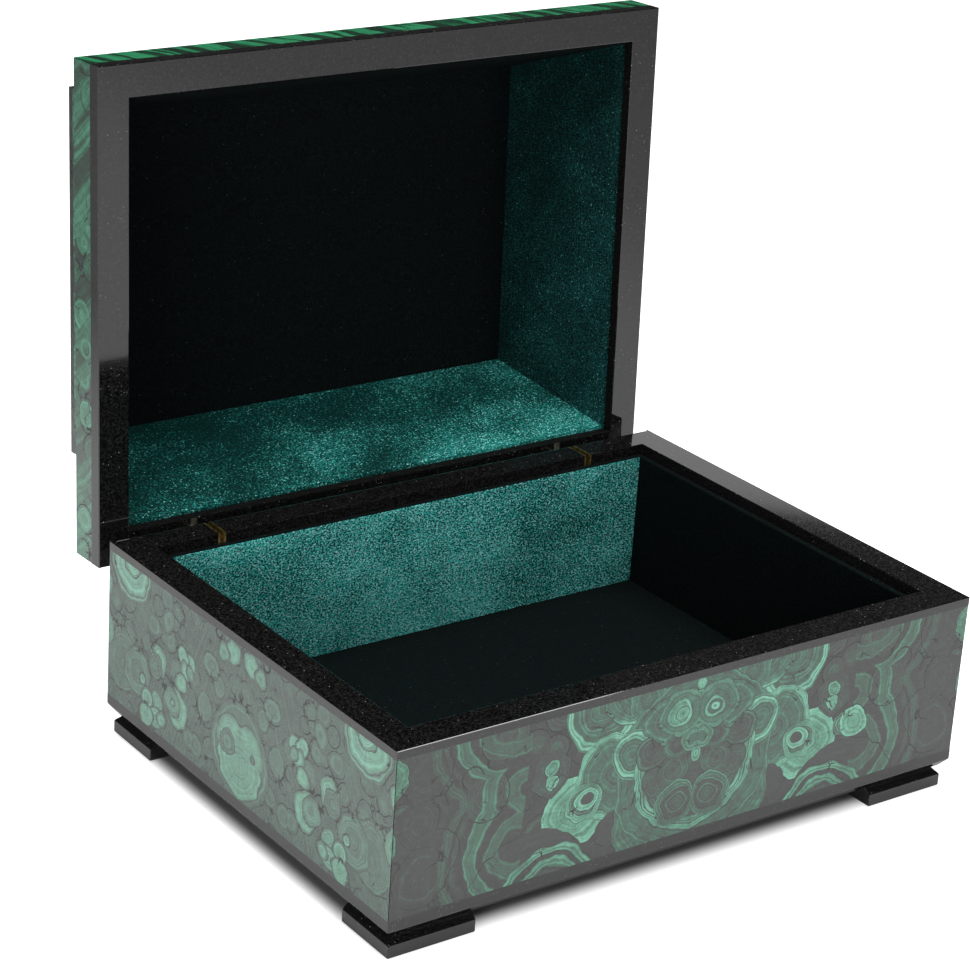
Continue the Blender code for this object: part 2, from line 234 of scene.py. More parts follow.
class NodeBoard:
    """A material's node tree with short calls for the nodes that the finishes need."""

    def __init__(self, name: str) -> None:
        """Start a material with an empty principled shader.

        Args:
            name: The material's name.
        """
        self.material = bpy.data.materials.new(name)
        self.material.use_nodes = True
        self.nodes = self.material.node_tree.nodes
        self.links = self.material.node_tree.links
        self.shader = self.nodes["Principled BSDF"]

    def feed(self, socket: Socket, value: Union[Number, Triple]) -> None:
        """Link a socket to an output, or set its own value.

        Args:
            socket: The input to feed.
            value: An output socket, a number, a vector or a colour.
        """
        if isinstance(value, Socket):
            self.links.new(value, socket)
        elif socket.type == "RGBA" and len(value) == 3:
            socket.default_value = (*value, 1.0)
        else:
            socket.default_value = value

    def math(self, operation: str, first: Number, second: Number = 0.0, third: Number = 0.0) -> Socket:
        """Add a math node.

        Args:
            operation: The math node's operation.
            first: The first value.
            second: The second value, where the operation has one.
            third: The third value, where the operation has one.

        Returns:
            The node's result.
        """
        node = self.nodes.new("ShaderNodeMath")
        node.operation = operation
        for socket, value in zip(node.inputs, (first, second, third)):
            self.feed(socket, value)
        return node.outputs["Value"]

    def product(self, first: Number, *others: Number) -> Number:
        """Multiply several values.

        Args:
            first: The first value.
            *others: The values to multiply it by.

        Returns:
            The product.
        """
        result = first
        for other in others:
            result = self.math("MULTIPLY", result, other)
        return result

    def centred(self, value: Socket) -> Socket:
        """Shift a value between zero and one so that it lies about zero."""
        return self.math("SUBTRACT", value, 0.5)

    def vector(self, operation: str, first: Triple, second: Triple = (0.0, 0.0, 0.0)) -> Socket:
        """Add a vector math node.

        Args:
            operation: The vector math node's operation.
            first: The first vector.
            second: The second vector, where the operation has one.

        Returns:
            The vector result, or the value of a distance or a dot product.
        """
        node = self.nodes.new("ShaderNodeVectorMath")
        node.operation = operation
        self.feed(node.inputs[0], first)
        self.feed(node.inputs[1], second)
        return node.outputs["Value" if operation in ("DISTANCE", "DOT_PRODUCT") else "Vector"]

    def object_point(self) -> Socket:
        """Give the point in the frame of the solids."""
        return self.nodes.new("ShaderNodeTexCoord").outputs["Object"]

    def surface_point(self) -> Socket:
        """Give the point along and up the piece's own face.

        Returns:
            The point, in metres.
        """
        node = self.nodes.new("ShaderNodeUVMap")
        node.uv_map = SURFACE_UV
        return node.outputs["UV"]

    def split(self, vector: Triple) -> tuple[Socket, ...]:
        """Take a vector apart.

        Args:
            vector: The vector.

        Returns:
            Its three parts.
        """
        node = self.nodes.new("ShaderNodeSeparateXYZ")
        self.feed(node.inputs["Vector"], vector)
        return tuple(node.outputs)

    def join(self, x: Number, y: Number, z: Number = 0.0) -> Socket:
        """Make a vector of three parts.

        Args:
            x: The first part.
            y: The second part.
            z: The third part.

        Returns:
            The vector.
        """
        node = self.nodes.new("ShaderNodeCombineXYZ")
        for socket, value in zip(node.inputs, (x, y, z)):
            self.feed(socket, value)
        return node.outputs["Vector"]

    def noise(self, point: Triple, grain: float, detail: float = 2.0,
              roughness: float = 0.5) -> bpy.types.Node:
        """Add a noise texture.

        Args:
            point: The vector to read it at.
            grain: The size of one lump, in metres.
            detail: How many finer layers it has.
            roughness: How strong the finer layers are.

        Returns:
            The noise node.
        """
        node = self.nodes.new("ShaderNodeTexNoise")
        self.feed(node.inputs["Vector"], point)
        node.inputs["Scale"].default_value = 1.0 / grain
        node.inputs["Detail"].default_value = detail
        node.inputs["Roughness"].default_value = roughness
        return node

    def stripes(self, along: Socket, width: float, detail: float, roughness: float = 0.62) -> Socket:
        """Add noise along one line, which gives irregular bands.

        Args:
            along: The distance that the bands follow, in metres.
            width: The width of the widest bands, in metres.
            detail: How many finer layers of bands there are.
            roughness: How strong the finer layers are.

        Returns:
            The bands' value.
        """
        node = self.nodes.new("ShaderNodeTexNoise")
        node.noise_dimensions = "1D"
        self.feed(node.inputs["W"], along)
        node.inputs["Scale"].default_value = 1.0 / width
        node.inputs["Detail"].default_value = detail
        node.inputs["Roughness"].default_value = roughness
        return node.outputs[0]

    def cells(self, point: Triple, size: float, feature: str = "F1") -> bpy.types.Node:
        """Add a cell texture.

        Args:
            point: The vector to read it at.
            size: The size of one cell, in metres.
            feature: The distance that the node gives.

        Returns:
            The cell node.
        """
        node = self.nodes.new("ShaderNodeTexVoronoi")
        node.feature = feature
        self.feed(node.inputs["Vector"], point)
        node.inputs["Scale"].default_value = 1.0 / size
        return node

    def ease(self, value: Number, start: float, end: float, low: Number = 0.0, high: Number = 1.0) -> Socket:
        """Map a range of values smoothly onto another.

        Args:
            value: The value to map.
            start: The value that gives the low end.
            end: The value that gives the high end.
            low: The result at the start.
            high: The result at the end.

        Returns:
            The mapped value.
        """
        node = self.nodes.new("ShaderNodeMapRange")
        node.interpolation_type = "SMOOTHSTEP"
        for socket, item in zip(node.inputs, (value, start, end, low, high)):
            self.feed(socket, item)
        return node.outputs["Result"]

    def ramp(self, value: Socket, stops: Sequence[tuple[float, Colour]]) -> Socket:
        """Add a colour ramp.

        Args:
            value: The value to colour.
            stops: Places along the ramp with their colours.

        Returns:
            The ramp's colour.
        """
        node = self.nodes.new("ShaderNodeValToRGB")
        elements = node.color_ramp.elements
        while len(elements) < len(stops):
            elements.new(1.0)
        for element, (place, colour) in zip(elements, stops):
            element.position = place
            element.color = (*colour, 1.0)
        self.feed(node.inputs["Fac"], value)
        return node.outputs["Color"]

    def blend(self, factor: Number, first: Triple, second: Triple) -> Socket:
        """Mix two colours.

        Args:
            factor: How much of the second shows.
            first: The first colour.
            second: The second colour.

        Returns:
            The mixed colour.
        """
        return self._mixed("RGBA", COLOUR_SOCKETS, factor, first, second)

    def choose(self, switch: Number, first: Triple, second: Triple) -> Socket:
        """Give one vector or another.

        Args:
            switch: Zero for the first and one for the second.
            first: The first vector.
            second: The second vector.

        Returns:
            The chosen vector.
        """
        return self._mixed("VECTOR", VECTOR_SOCKETS, switch, first, second)

    def _mixed(self, kind: str, sockets: tuple[int, int, int], factor: Number, first: Triple,
               second: Triple) -> Socket:
        """Add a mix node.

        Args:
            kind: The kind of data.
            sockets: The sockets that belong to it: first input, second input and result.
            factor: How much of the second shows.
            first: The first value.
            second: The second value.

        Returns:
            The mixed value.
        """
        node = self.nodes.new("ShaderNodeMix")
        node.data_type = kind
        self.feed(node.inputs["Factor"], factor)
        self.feed(node.inputs[sockets[0]], first)
        self.feed(node.inputs[sockets[1]], second)
        return node.outputs[sockets[2]]

    def bump(self, height: Socket, depth: float, strength: float) -> None:
        """Give the surface relief.

        Args:
            height: The relief's height.
            depth: How deep it goes, in metres.
            strength: How strongly it shows.
        """
        node = self.nodes.new("ShaderNodeBump")
        node.inputs["Strength"].default_value = strength
        node.inputs["Distance"].default_value = depth
        self.feed(node.inputs["Height"], height)
        self.feed(self.shader.inputs["Normal"], node.outputs["Normal"])

    def finish(self, **values: Union[Number, Triple]) -> Material:
        """Feed the shader's sockets by name, with underscores for spaces.

        Args:
            **values: Socket names with outputs or values.

        Returns:
            The finished material.
        """
        for name, value in values.items():
            self.feed(self.shader.inputs[name.replace("_", " ")], value)
        return self.material


@dataclass(frozen=True)
class StoneFinish:
    """Near-black stone with a fine grain and a few bright flecks, polished or only honed."""

    name: str = "polished_stone"
    dark: Colour = (0.0022, 0.0021, 0.0022)
    grain_colour: Colour = (0.030, 0.028, 0.027)
    fleck_colour: Colour = (0.30, 0.29, 0.28)
    grain: float = 0.6 * MM
    grain_range: Range = (0.42, 0.75)
    fleck_cell: float = 0.85 * MM
    fleck_radius: float = 0.20
    fleck_share: float = 0.24
    fleck_fall: float = 3.5
    polish: float = 0.055
    polish_range: Range = (0.3, 0.8)
    smoothest: float = 0.7
    roughest: float = 1.5
    refraction: float = 1.70

    def build(self) -> Material:
        """Make the stone's material.

        Returns:
            The material.
        """
        board = NodeBoard(self.name)
        point = board.object_point()
        grain = board.noise(point, self.grain, detail=4.0, roughness=0.7).outputs[0]
        body = board.blend(board.ease(grain, *self.grain_range), self.dark, self.grain_colour)
        cells = board.cells(point, self.fleck_cell)
        chance, shine, _ = board.split(cells.outputs["Color"])
        near = board.math("LESS_THAN", cells.outputs["Distance"], self.fleck_radius)
        lucky = board.math("LESS_THAN", chance, self.fleck_share)
        strength = board.product(near, lucky, board.math("POWER", shine, self.fleck_fall))
        colour = board.blend(strength, body, self.fleck_colour)
        limits = (self.polish * self.smoothest, self.polish * self.roughest)
        rough = board.ease(grain, *self.polish_range, *limits)
        return board.finish(Base_Color=colour, Roughness=rough, IOR=self.refraction)


@dataclass(frozen=True)
class Nodule:
    """One rounded growth in the malachite, placed on its face in millimetres.

    Light is how pale it is inside, and edge how strongly pale lines follow its outline. A growth that
    joins has no outline where it meets the one before it.
    """

    across: float
    up: float
    size: float
    light: float = 0.4
    edge: float = 0.4
    half: Half = Half.BOTH
    joins: bool = False

    @property
    def centre(self) -> tuple[float, float, float]:
        """The growth's middle on its face, in metres."""
        return (self.across * MM, self.up * MM, 0.0)

    @property
    def tone(self) -> float:
        """Where this growth's rings start, so that neighbours differ."""
        return self.across * TONE_ACROSS + self.up * TONE_UP


@dataclass(frozen=True)
class Band:
    """A pale band in the ground, placed by its distance past the swells, in millimetres."""

    past: float
    width: float
    light: float
    outer_blur: float = 0.3
    inner_blur: float = 0.2


@dataclass(frozen=True)
class Cracks:
    """Fine dark cracks and pits in the malachite, in places only, and the seams between matched slices."""

    place: float = 10.0 * MM
    cell: float = 8.0 * MM
    width: float = 0.020
    some: Range = (0.57, 0.64)
    outline: float = 0.14 * MM
    some_outlines: Range = (0.38, 0.50)
    pit: float = 1.2 * MM
    pit_radius: float = 0.34
    pit_reach: float = 1.1 * MM
    some_pits: Range = (0.55, 0.62)
    seam: float = 0.10 * MM
    seam_share: float = 0.55

    def show(self, board: NodeBoard, point: Socket, warped: Socket, reach: Number, matched: bool) -> Socket:
        """Give where the cracks, the pits and the seams show.

        Args:
            board: The material's nodes.
            point: The point on the face.
            warped: The point pushed aside, as the growths have it.
            reach: The distance past the outline of the growth in front.
            matched: Whether the face is laid in matched slices.

        Returns:
            How much of the crack's colour shows.
        """
        place = board.noise(point, self.place, detail=2.0).outputs[0]
        edges = board.cells(warped, self.cell, "DISTANCE_TO_EDGE").outputs["Distance"]
        cracks = board.product(board.math("LESS_THAN", edges, self.width), board.ease(place, *self.some))
        off = board.math("ABSOLUTE", reach)
        outlines = board.math("LESS_THAN", off, self.outline)
        outlines = board.product(outlines, board.ease(place, *self.some_outlines))
        pits = board.math("LESS_THAN", board.cells(point, self.pit).outputs["Distance"], self.pit_radius)
        beside = board.math("LESS_THAN", off, self.pit_reach)
        pits = board.product(pits, beside, board.ease(place, *self.some_pits))
        shown = board.math("MAXIMUM", board.math("MAXIMUM", cracks, outlines), pits)
        if matched:
            seam = board.math("LESS_THAN", board.split(point)[0], self.seam)
            shown = board.math("MAXIMUM", shown, board.product(seam, self.seam_share))
        return shown


@dataclass(frozen=True)
class MalachiteFinish:
    """Polished malachite: rounded growths that overlap, with rings in them and fine cracks between them.

    The ground between the growths has bands that follow the swells, or that slant across the strip.
    """

    name: str
    nodules: tuple[Nodule, ...] = ()
    swells: tuple[Nodule, ...] = ()
    bands: tuple[Band, ...] = ()
    match: Match = Match.NONE
    slant: Optional[float] = None
    plain_slant: float = 0.4
    shift: float = 0.0
    cell: float = 15.0 * MM
    cell_light: float = 0.25
    cell_share: float = 0.48
    band: float = 6.5 * MM
    band_light: float = 0.30
    band_range: Range = (0.60, 0.68)
    thin_share: float = 1 / 6
    thin_light: float = 0.34
    pale_thin_light: float = 0.6
    warp: float = 2.2 * MM
    warp_grain: float = 26.0 * MM
    warp_layers: tuple[float, ...] = (1.0, 0.36, 0.09)
    knob: float = 4.5 * MM
    knob_height: float = 1.5 * MM
    knob_drop: float = 0.4
    outline: float = 0.3 * MM
    body: float = 0.72
    fibre: float = 0.42
    dark_fibre: float = 0.25
    fibre_angle: float = 0.14
    ring: float = 0.64
    ring_width: float = 1.7 * MM
    pale_ring: float = -0.25
    fine_ring: float = 0.12
    fine_ring_width: float = 0.65 * MM
    pale_fine_ring: float = 0.5
    line: float = 0.56
    line_width: float = 0.95 * MM
    line_range: Range = (0.44, 0.58)
    line_reach: Range = (-4.6 * MM, -0.8 * MM)
    line_break: float = 13.0 * MM
    break_range: Range = (0.34, 0.56)
    broken_line: float = 0.35
    ground: float = 0.10
    patch: float = 24.0 * MM
    patch_light: float = 0.20
    patch_band: float = 0.30
    grains: tuple[Range, ...] = ((0.7 * MM, 0.20), (3.6 * MM, 0.30))
    wisp: float = 1.1 * MM
    wisp_range: Range = (0.46, 0.72)
    wisp_ground: Range = (0.55, 0.20)
    cracks: Cracks = Cracks()
    polish: float = 0.07
    crack_polish: float = 0.5
    refraction: float = 1.8
    colour_places: tuple[float, ...] = (0.0, 0.25, 0.48, 0.72, 1.0)
    black: Colour = (0.0030, 0.0024, 0.0024)
    dark: Colour = (0.019, 0.025, 0.0225)
    wisp_colour: Colour = (0.040, 0.036, 0.039)
    middle: Colour = (0.026, 0.112, 0.066)
    light: Colour = (0.080, 0.29, 0.185)
    pale: Colour = (0.175, 0.49, 0.340)
    crack: Colour = (0.0006, 0.0012, 0.0010)

    def build(self) -> Material:
        """Make the malachite's material.

        Returns:
            The material.
        """
        board = NodeBoard(self.name)
        point = self._flat_point(board)
        warped = self._warped(board, point)
        knobs = board.cells(warped, self.knob).outputs["Distance"]
        knobs = board.math("MULTIPLY_ADD", knobs, self.knob_height, -self.knob_drop * self.knob_height)
        growth, reach = self._growths(board, warped, knobs)
        value = board.math("MAXIMUM", growth, self._ground_value(board, warped, knobs))
        for size, share in self.grains:
            grain = board.centred(board.noise(warped, size, detail=2.0, roughness=0.6).outputs[0])
            value = board.math("MULTIPLY_ADD", grain, share, value)
        colours = (self.black, self.dark, self.middle, self.light, self.pale)
        colour = board.ramp(value, tuple(zip(self.colour_places, colours)))
        wisps = board.noise(warped, self.wisp, detail=4.0, roughness=0.7).outputs[0]
        wisps = board.product(board.ease(wisps, *self.wisp_range), board.ease(value, *self.wisp_ground))
        colour = board.blend(wisps, colour, self.wisp_colour)
        crack = self.cracks.show(board, point, warped, reach, self.match is not Match.NONE)
        colour = board.blend(crack, colour, self.crack)
        rough = board.ease(crack, 0.0, 1.0, self.polish, self.crack_polish)
        return board.finish(Base_Color=colour, Roughness=rough, IOR=self.refraction)

    def _flat_point(self, board: NodeBoard) -> Socket:
        """Give the point on the face, folded where slices are matched.

        Args:
            board: The material's nodes.

        Returns:
            The point, along and up the face.
        """
        along, up, _ = board.split(board.surface_point())
        if self.match is not Match.NONE:
            along = board.math("ABSOLUTE", along)
        if self.match is Match.QUARTERS:
            up = board.math("ABSOLUTE", up)
        return board.join(board.math("ADD", along, self.shift), up)

    def _warped(self, board: NodeBoard, point: Socket) -> Socket:
        """Push a point aside by noise, and keep it in the face.

        Args:
            board: The material's nodes.
            point: The point on the face.

        Returns:
            The pushed point.
        """
        warped = point
        for share in self.warp_layers:
            lumps = board.noise(point, self.warp_grain * share, detail=1.0).outputs["Color"]
            push = board.vector("SUBTRACT", lumps, (0.5, 0.5, 0.5))
            farthest = 2.0 * self.warp * share
            push = board.vector("MULTIPLY", push, (farthest, farthest, 0.0))
            warped = board.vector("ADD", warped, push)
        return warped

    def _past(self, board: NodeBoard, point: Socket, knobs: Socket, nodule: Nodule) -> Socket:
        """Give how far a point lies past a growth's knobbly outline.

        Args:
            board: The material's nodes.
            point: The point.
            knobs: The height of the knobs there, in metres.
            nodule: The growth.

        Returns:
            The distance in metres, less than zero inside.
        """
        distance = board.vector("DISTANCE", point, nodule.centre)
        return board.math("ADD", board.math("SUBTRACT", distance, nodule.size * MM), knobs)

    def _front_growth(self, board: NodeBoard, point: Socket, knobs: Socket) -> tuple[Triple, Number, Triple]:
        """Lay the growths over each other, each in front of those before it, on a ground of cells.

        Args:
            board: The material's nodes.
            point: The point.
            knobs: The height of the knobs there, in metres.

        Returns:
            The tone, light and edge of the growth in front, the distance past its outline, and its centre.
        """
        cells = board.cells(point, self.cell)
        shares = (0.5, self.cell_light, self.cell_light)
        traits: Triple = board.vector("MULTIPLY", cells.outputs["Color"], shares)
        reach: Number = self.cell
        if self.cell_light:
            edge = -self.cell_share * self.cell
            reach = board.math("MULTIPLY_ADD", cells.outputs["Distance"], self.cell, edge)
        centre: Triple = point
        before: Number = 0.0
        side = board.split(board.surface_point())[0]
        for nodule in self.nodules:
            past = self._past(board, point, knobs, nodule)
            if nodule.half is not Half.BOTH:
                wrong = board.math("LESS_THAN", board.product(side, nodule.half.value), 0.0)
                past = board.math("ADD", past, wrong)
            limit = board.math("MINIMUM", before, 0.0) if nodule.joins else 0.0
            inside = board.math("LESS_THAN", past, limit)
            nearest = board.math("MINIMUM", reach, past)
            reach = board.math("MULTIPLY_ADD", board.math("SUBTRACT", past, nearest), inside, nearest)
            traits = board.choose(inside, traits, (nodule.tone, nodule.light, nodule.edge))
            centre = board.choose(inside, centre, nodule.centre)
            before = past
        return traits, reach, centre

    def _growths(self, board: NodeBoard, point: Socket, knobs: Socket) -> tuple[Socket, Number]:
        """Draw the rings, the pale lines along the outline and the radial fibres of the growths.

        Args:
            board: The material's nodes.
            point: The point.
            knobs: The height of the knobs there, in metres.

        Returns:
            How pale the growth in front is, and the distance past its outline.
        """
        traits, reach, centre = self._front_growth(board, point, knobs)
        tone, light, edge = board.split(traits)
        place = board.math("ADD", reach, tone)
        rings = board.centred(board.stripes(place, self.ring_width, detail=3.0))
        ring_strength = board.math("MULTIPLY_ADD", light, self.pale_ring, self.ring)
        fine_rings = board.centred(board.stripes(place, self.fine_ring_width, detail=1.0))
        fine_strength = board.math("MULTIPLY_ADD", light, self.pale_fine_ring, self.fine_ring)
        lines = board.ease(board.stripes(place, self.line_width, detail=1.0), *self.line_range)
        breaks = board.noise(point, self.line_break, detail=1.0).outputs[0]
        breaks = board.ease(breaks, *self.break_range, self.broken_line, 1.0)
        lines = board.product(lines, board.ease(reach, *self.line_reach), edge, breaks)
        outwards = board.vector("NORMALIZE", board.vector("SUBTRACT", point, centre))
        outwards = board.vector("ADD", outwards, board.join(tone, tone, tone))
        fibres = board.centred(board.noise(outwards, self.fibre_angle, detail=2.0, roughness=0.65).outputs[0])
        fibres = board.product(fibres, self.fibre)
        value = board.math("MULTIPLY_ADD", light, self.body, self.ground)
        value = board.math("MULTIPLY_ADD", rings, ring_strength, value)
        value = board.math("MULTIPLY_ADD", fine_rings, fine_strength, value)
        value = board.math("MULTIPLY_ADD", lines, self.line, value)
        value = board.math("MULTIPLY_ADD", fibres, board.math("ADD", light, self.dark_fibre), value)
        return board.product(value, board.ease(reach, self.outline / 2, -self.outline)), reach

    def _ground_value(self, board: NodeBoard, point: Socket, knobs: Socket) -> Socket:
        """Give the paleness between the growths.

        Args:
            board: The material's nodes.
            point: The point.
            knobs: The height of the knobs there, in metres.

        Returns:
            How pale the ground is.
        """
        along, up, _ = board.split(point)
        around = board.math("MULTIPLY_ADD", up, self.slant or self.plain_slant, along)
        if self.swells:
            around = self._past(board, point, knobs, self.swells[0])
        for swell in self.swells[1:]:
            around = board.math("MINIMUM", around, self._past(board, point, knobs, swell))
        patches = board.noise(point, self.patch, detail=2.0).outputs[0]
        thin = board.centred(board.stripes(around, self.band * self.thin_share, detail=3.0))
        broad: Number = 0.0
        if self.slant is not None:
            stripes = board.stripes(around, self.band, detail=1.0)
            lifted = board.math("MULTIPLY_ADD", patches, self.patch_band, stripes)
            broad = board.product(board.ease(lifted, *self.band_range), self.band_light)
        for band in self.bands:
            off = board.math("ABSOLUTE", board.math("SUBTRACT", around, band.past * MM))
            outer = (band.width / 2 + band.outer_blur) * MM
            inner = (band.width / 2 - band.inner_blur) * MM
            outside = board.math("GREATER_THAN", along, self.swells[0].across * MM)
            stripe = board.product(board.ease(off, outer, inner), outside)
            broad = board.math("MULTIPLY_ADD", stripe, band.light, broad)
        lowest = self.ground - self.patch_light / 2
        level = board.math("ADD", broad, board.math("MULTIPLY_ADD", patches, self.patch_light, lowest))
        thin_strength = board.math("MULTIPLY_ADD", broad, self.pale_thin_light, self.thin_light)
        return board.math("MULTIPLY_ADD", thin, thin_strength, level)


@dataclass(frozen=True)
class PaintedLightVelvet:
    """Teal velvet copies with painted light in their colour: lit, half lit or in painted shade, with painted
    glints.

    The painted shade is how much the colour darkens along the shade direction, from the start to the end, the
    patches how unevenly the pile lies, and the blur how softly its tufts end.
    """

    nap: Nap
    valley: Colour
    pile: Colour
    painted_glint: Colour
    painted_glint_share: float
    painted_shade: float = 0.0
    patches: float = 0.35
    blur: float = 0.30
    level: float = 0.51
    thread: float = 0.50 * MM
    patch: float = 22.0 * MM
    row_stretch: float = 0.7
    shade_direction: tuple[float, float, float] = (1.0, -2.2, 0.0)
    start: float = -40.0 * MM
    end: float = -240.0 * MM
    painted_shade_depth: float = 0.20
    painted_glint_size: float = 0.68
    painted_glint_edge: Range = (0.64, 0.30)
    painted_glint_range: Range = (0.30, 0.68)
    painted_glint_lift: float = 0.6
    relief: float = 0.25 * MM
    relief_strength: float = 0.6

    def build(self) -> Material:
        """Make the velvet's material.

        Returns:
            The material.
        """
        board = NodeBoard(f"velvet_{self.nap.value}")
        point = board.vector("MULTIPLY", board.object_point(), (self.row_stretch, 1.0, 1.0))
        tufts = board.noise(point, self.thread, detail=1.0, roughness=0.7).outputs[0]
        clumps = board.noise(point, self.patch, detail=3.0, roughness=0.6).outputs[0]
        # Painted shade: the colour darkens along the shade direction, towards the lid's deep and upper parts,
        # standing in for the shade that falls there.
        patches_and_painted_shade = board.product(board.centred(clumps), self.patches)
        if self.painted_shade:
            along = board.vector("DOT_PRODUCT", board.object_point(), self.shade_direction)
            painted_fall = board.ease(along, self.start, self.end, 0.0, -self.painted_shade_depth * self.painted_shade)
            patches_and_painted_shade = board.math("ADD", patches_and_painted_shade, painted_fall)
        shade = board.math("ADD", tufts, patches_and_painted_shade)
        tuft = board.ease(shade, self.level - self.blur / 2, self.level + self.blur / 2)
        colour = board.blend(tuft, self.valley, self.pile)
        # Painted glints: pale specks put into the colour where the pile is lit, standing in for highlights.
        cells = board.cells(point, self.thread * self.painted_glint_size)
        near = board.ease(cells.outputs["Distance"], *self.painted_glint_edge)
        chance = board.math("MULTIPLY_ADD", patches_and_painted_shade, self.painted_glint_lift, self.painted_glint_share)
        lucky = board.math("LESS_THAN", board.split(cells.outputs["Color"])[0], chance)
        bright = board.product(near, lucky, board.ease(shade, *self.painted_glint_range))
        colour = board.blend(bright, colour, self.painted_glint)
        board.bump(tufts, self.relief, self.relief_strength)
        return board.finish(Base_Color=colour, Roughness=0.9, Sheen_Weight=0.08, Sheen_Roughness=0.4,
                            Sheen_Tint=self.pile, Specular_IOR_Level=0.1)


@dataclass(frozen=True)
class BrassFinish:
    """Brushed brass, dulled to olive in the hollows."""

    name: str = "olive_brass"
    bright: Colour = (0.72, 0.56, 0.24)
    dull: Colour = (0.25, 0.20, 0.07)
    line: float = 0.25 * MM
    line_stretch: float = 0.15
    line_range: Range = (0.3, 0.7)
    stain: float = 1.6 * MM
    stain_range: Range = (0.35, 0.65)
    polish: Range = (0.26, 0.46)
    relief: float = 0.02 * MM
    relief_strength: float = 0.4

    def build(self) -> Material:
        """Make the brass's material.

        Returns:
            The material.
        """
        board = NodeBoard(self.name)
        point = board.object_point()
        stain = board.noise(point, self.stain, detail=3.0, roughness=0.6).outputs[0]
        stretched = board.vector("MULTIPLY", point, (1.0, self.line_stretch, 1.0))
        brushed = board.noise(stretched, self.line, detail=2.0).outputs[0]
        colour = board.blend(board.ease(stain, *self.stain_range), self.bright, self.dull)
        rough = board.ease(brushed, *self.line_range, *self.polish)
        board.bump(brushed, self.relief, self.relief_strength)
        return board.finish(Base_Color=colour, Roughness=rough, Metallic=1.0)


FRONT_GROWTHS = (
    # The big round growths under the rim
    Nodule(33.0, 46.0, 14.0, 0.55, 1.0),
    Nodule(33.0, 46.0, 10.0, 0.44, 0.3),
    Nodule(24.0, 47.0, 9.0, 0.44, 1.0),
    Nodule(18.0, 45.0, 6.5, 0.42, 0.3),
    # The pale fan with its eye, and the round growth that lies over its upper end
    Nodule(41.0, 16.5, 11.2, 0.80, 0.6),
    Nodule(28.0, 24.0, 13.5, 0.48, 0.9),
    Nodule(28.0, 24.0, 10.5, 0.46, 0.1),
    Nodule(38.0, 18.5, 6.2, 0.42, 0.8),
    Nodule(37.0, 19.0, 3.8, 0.90, 0.6),
    Nodule(36.7, 19.0, 2.0, 0.15, 0.0),
    Nodule(28.5, 8.0, 5.5, 0.04, 0.1),
    # The arch at the foot
    Nodule(56.0, -6.0, 21.0, 0.03, 0.15),
    Nodule(49.0, -8.0, 16.5, 0.52, 0.6),
    Nodule(49.0, -8.0, 13.9, 0.05, 0.1),
    Nodule(49.0, -8.0, 12.4, 0.48, 0.5),
    Nodule(49.0, -8.0, 9.4, 0.10, 0.2),
    # The small fan and its eye, on the right half alone
    Nodule(54.5, 19.5, 4.2, 0.36, 1.0, Half.RIGHT),
    Nodule(58.5, 19.5, 5.4, 0.85, 0.4, Half.RIGHT),
    # The bowl in the middle with its pale rim
    Nodule(9.0, 8.0, 18.5, 0.45, 0.2),
    Nodule(0.0, 21.5, 28.0, 0.43, 0.2),
    Nodule(22.0, 29.0, 8.0, 0.50, 1.0),
    Nodule(0.0, 22.0, 21.5, 0.72, 0.3),
    Nodule(0.0, 22.0, 20.0, 0.42, 0.9),
    Nodule(0.0, 22.0, 17.6, 0.26, 0.2),
    # Lumps in the bowl
    Nodule(15.5, 28.0, 6.0, 0.24, 0.3),
    Nodule(14.0, 19.0, 4.8, 0.22, 0.4),
    Nodule(8.0, 20.5, 5.8, 0.24, 0.4),
    Nodule(5.8, 10.2, 7.4, 0.34, 0.4),
    Nodule(5.5, 10.0, 5.0, 0.24, 0.3),
    Nodule(7.0, 28.0, 5.5, 0.26, 0.4),
    Nodule(1.5, 28.5, 4.5, 0.44, 0.6),
    Nodule(0.0, 23.0, 2.5, 0.60, 0.5),
    # The two round growths above it, ringed differently on each half
    Nodule(12.0, 36.5, 7.5, 0.42, 0.2),
    Nodule(6.5, 37.5, 7.6, 0.46, 0.3),
    Nodule(7.0, 37.5, 4.4, 0.62, 0.7, Half.LEFT),
    Nodule(6.0, 37.5, 2.4, 0.55, 0.8, Half.LEFT),
    Nodule(5.5, 37.0, 3.6, 0.42, 0.6, Half.RIGHT),
    Nodule(5.5, 37.0, 1.5, 0.75, 0.6, Half.RIGHT),
    Nodule(0.0, 45.0, 2.0, 0.95, 0.2),
    # Small growths towards the ends
    Nodule(50.0, 30.0, 6.5, 0.18, 0.4),
    Nodule(49.5, 31.5, 2.6, 0.70, 0.5),
    Nodule(49.5, 28.0, 2.4, 0.75, 0.5),
    Nodule(92.0, 26.0, 7.0, 0.08, 0.2),
    Nodule(90.0, 40.0, 8.0, 0.06, 0.2),
    Nodule(91.0, 10.0, 9.0, 0.06, 0.2),
    Nodule(103.0, 40.0, 7.5, 0.55, 0.6),
    Nodule(104.0, 22.0, 6.0, 0.45, 0.5),
)
FRONT_SWELLS = (
    Nodule(58.0, 28.0, 13.0),
    Nodule(62.0, 50.0, 18.5),
    Nodule(60.0, 12.0, 16.0),
)
FRONT_BANDS = (
    Band(-8.6, 4.4, 0.30),
    Band(-6.2, 0.6, 0.26),
    Band(-2.6, 0.9, 0.46),
    Band(-0.8, 2.4, 0.36),
    Band(1.0, 0.7, 0.48),
    Band(4.4, 1.8, 0.17),
    Band(8.2, 3.0, 0.22),
    Band(13.0, 2.0, 0.13),
)

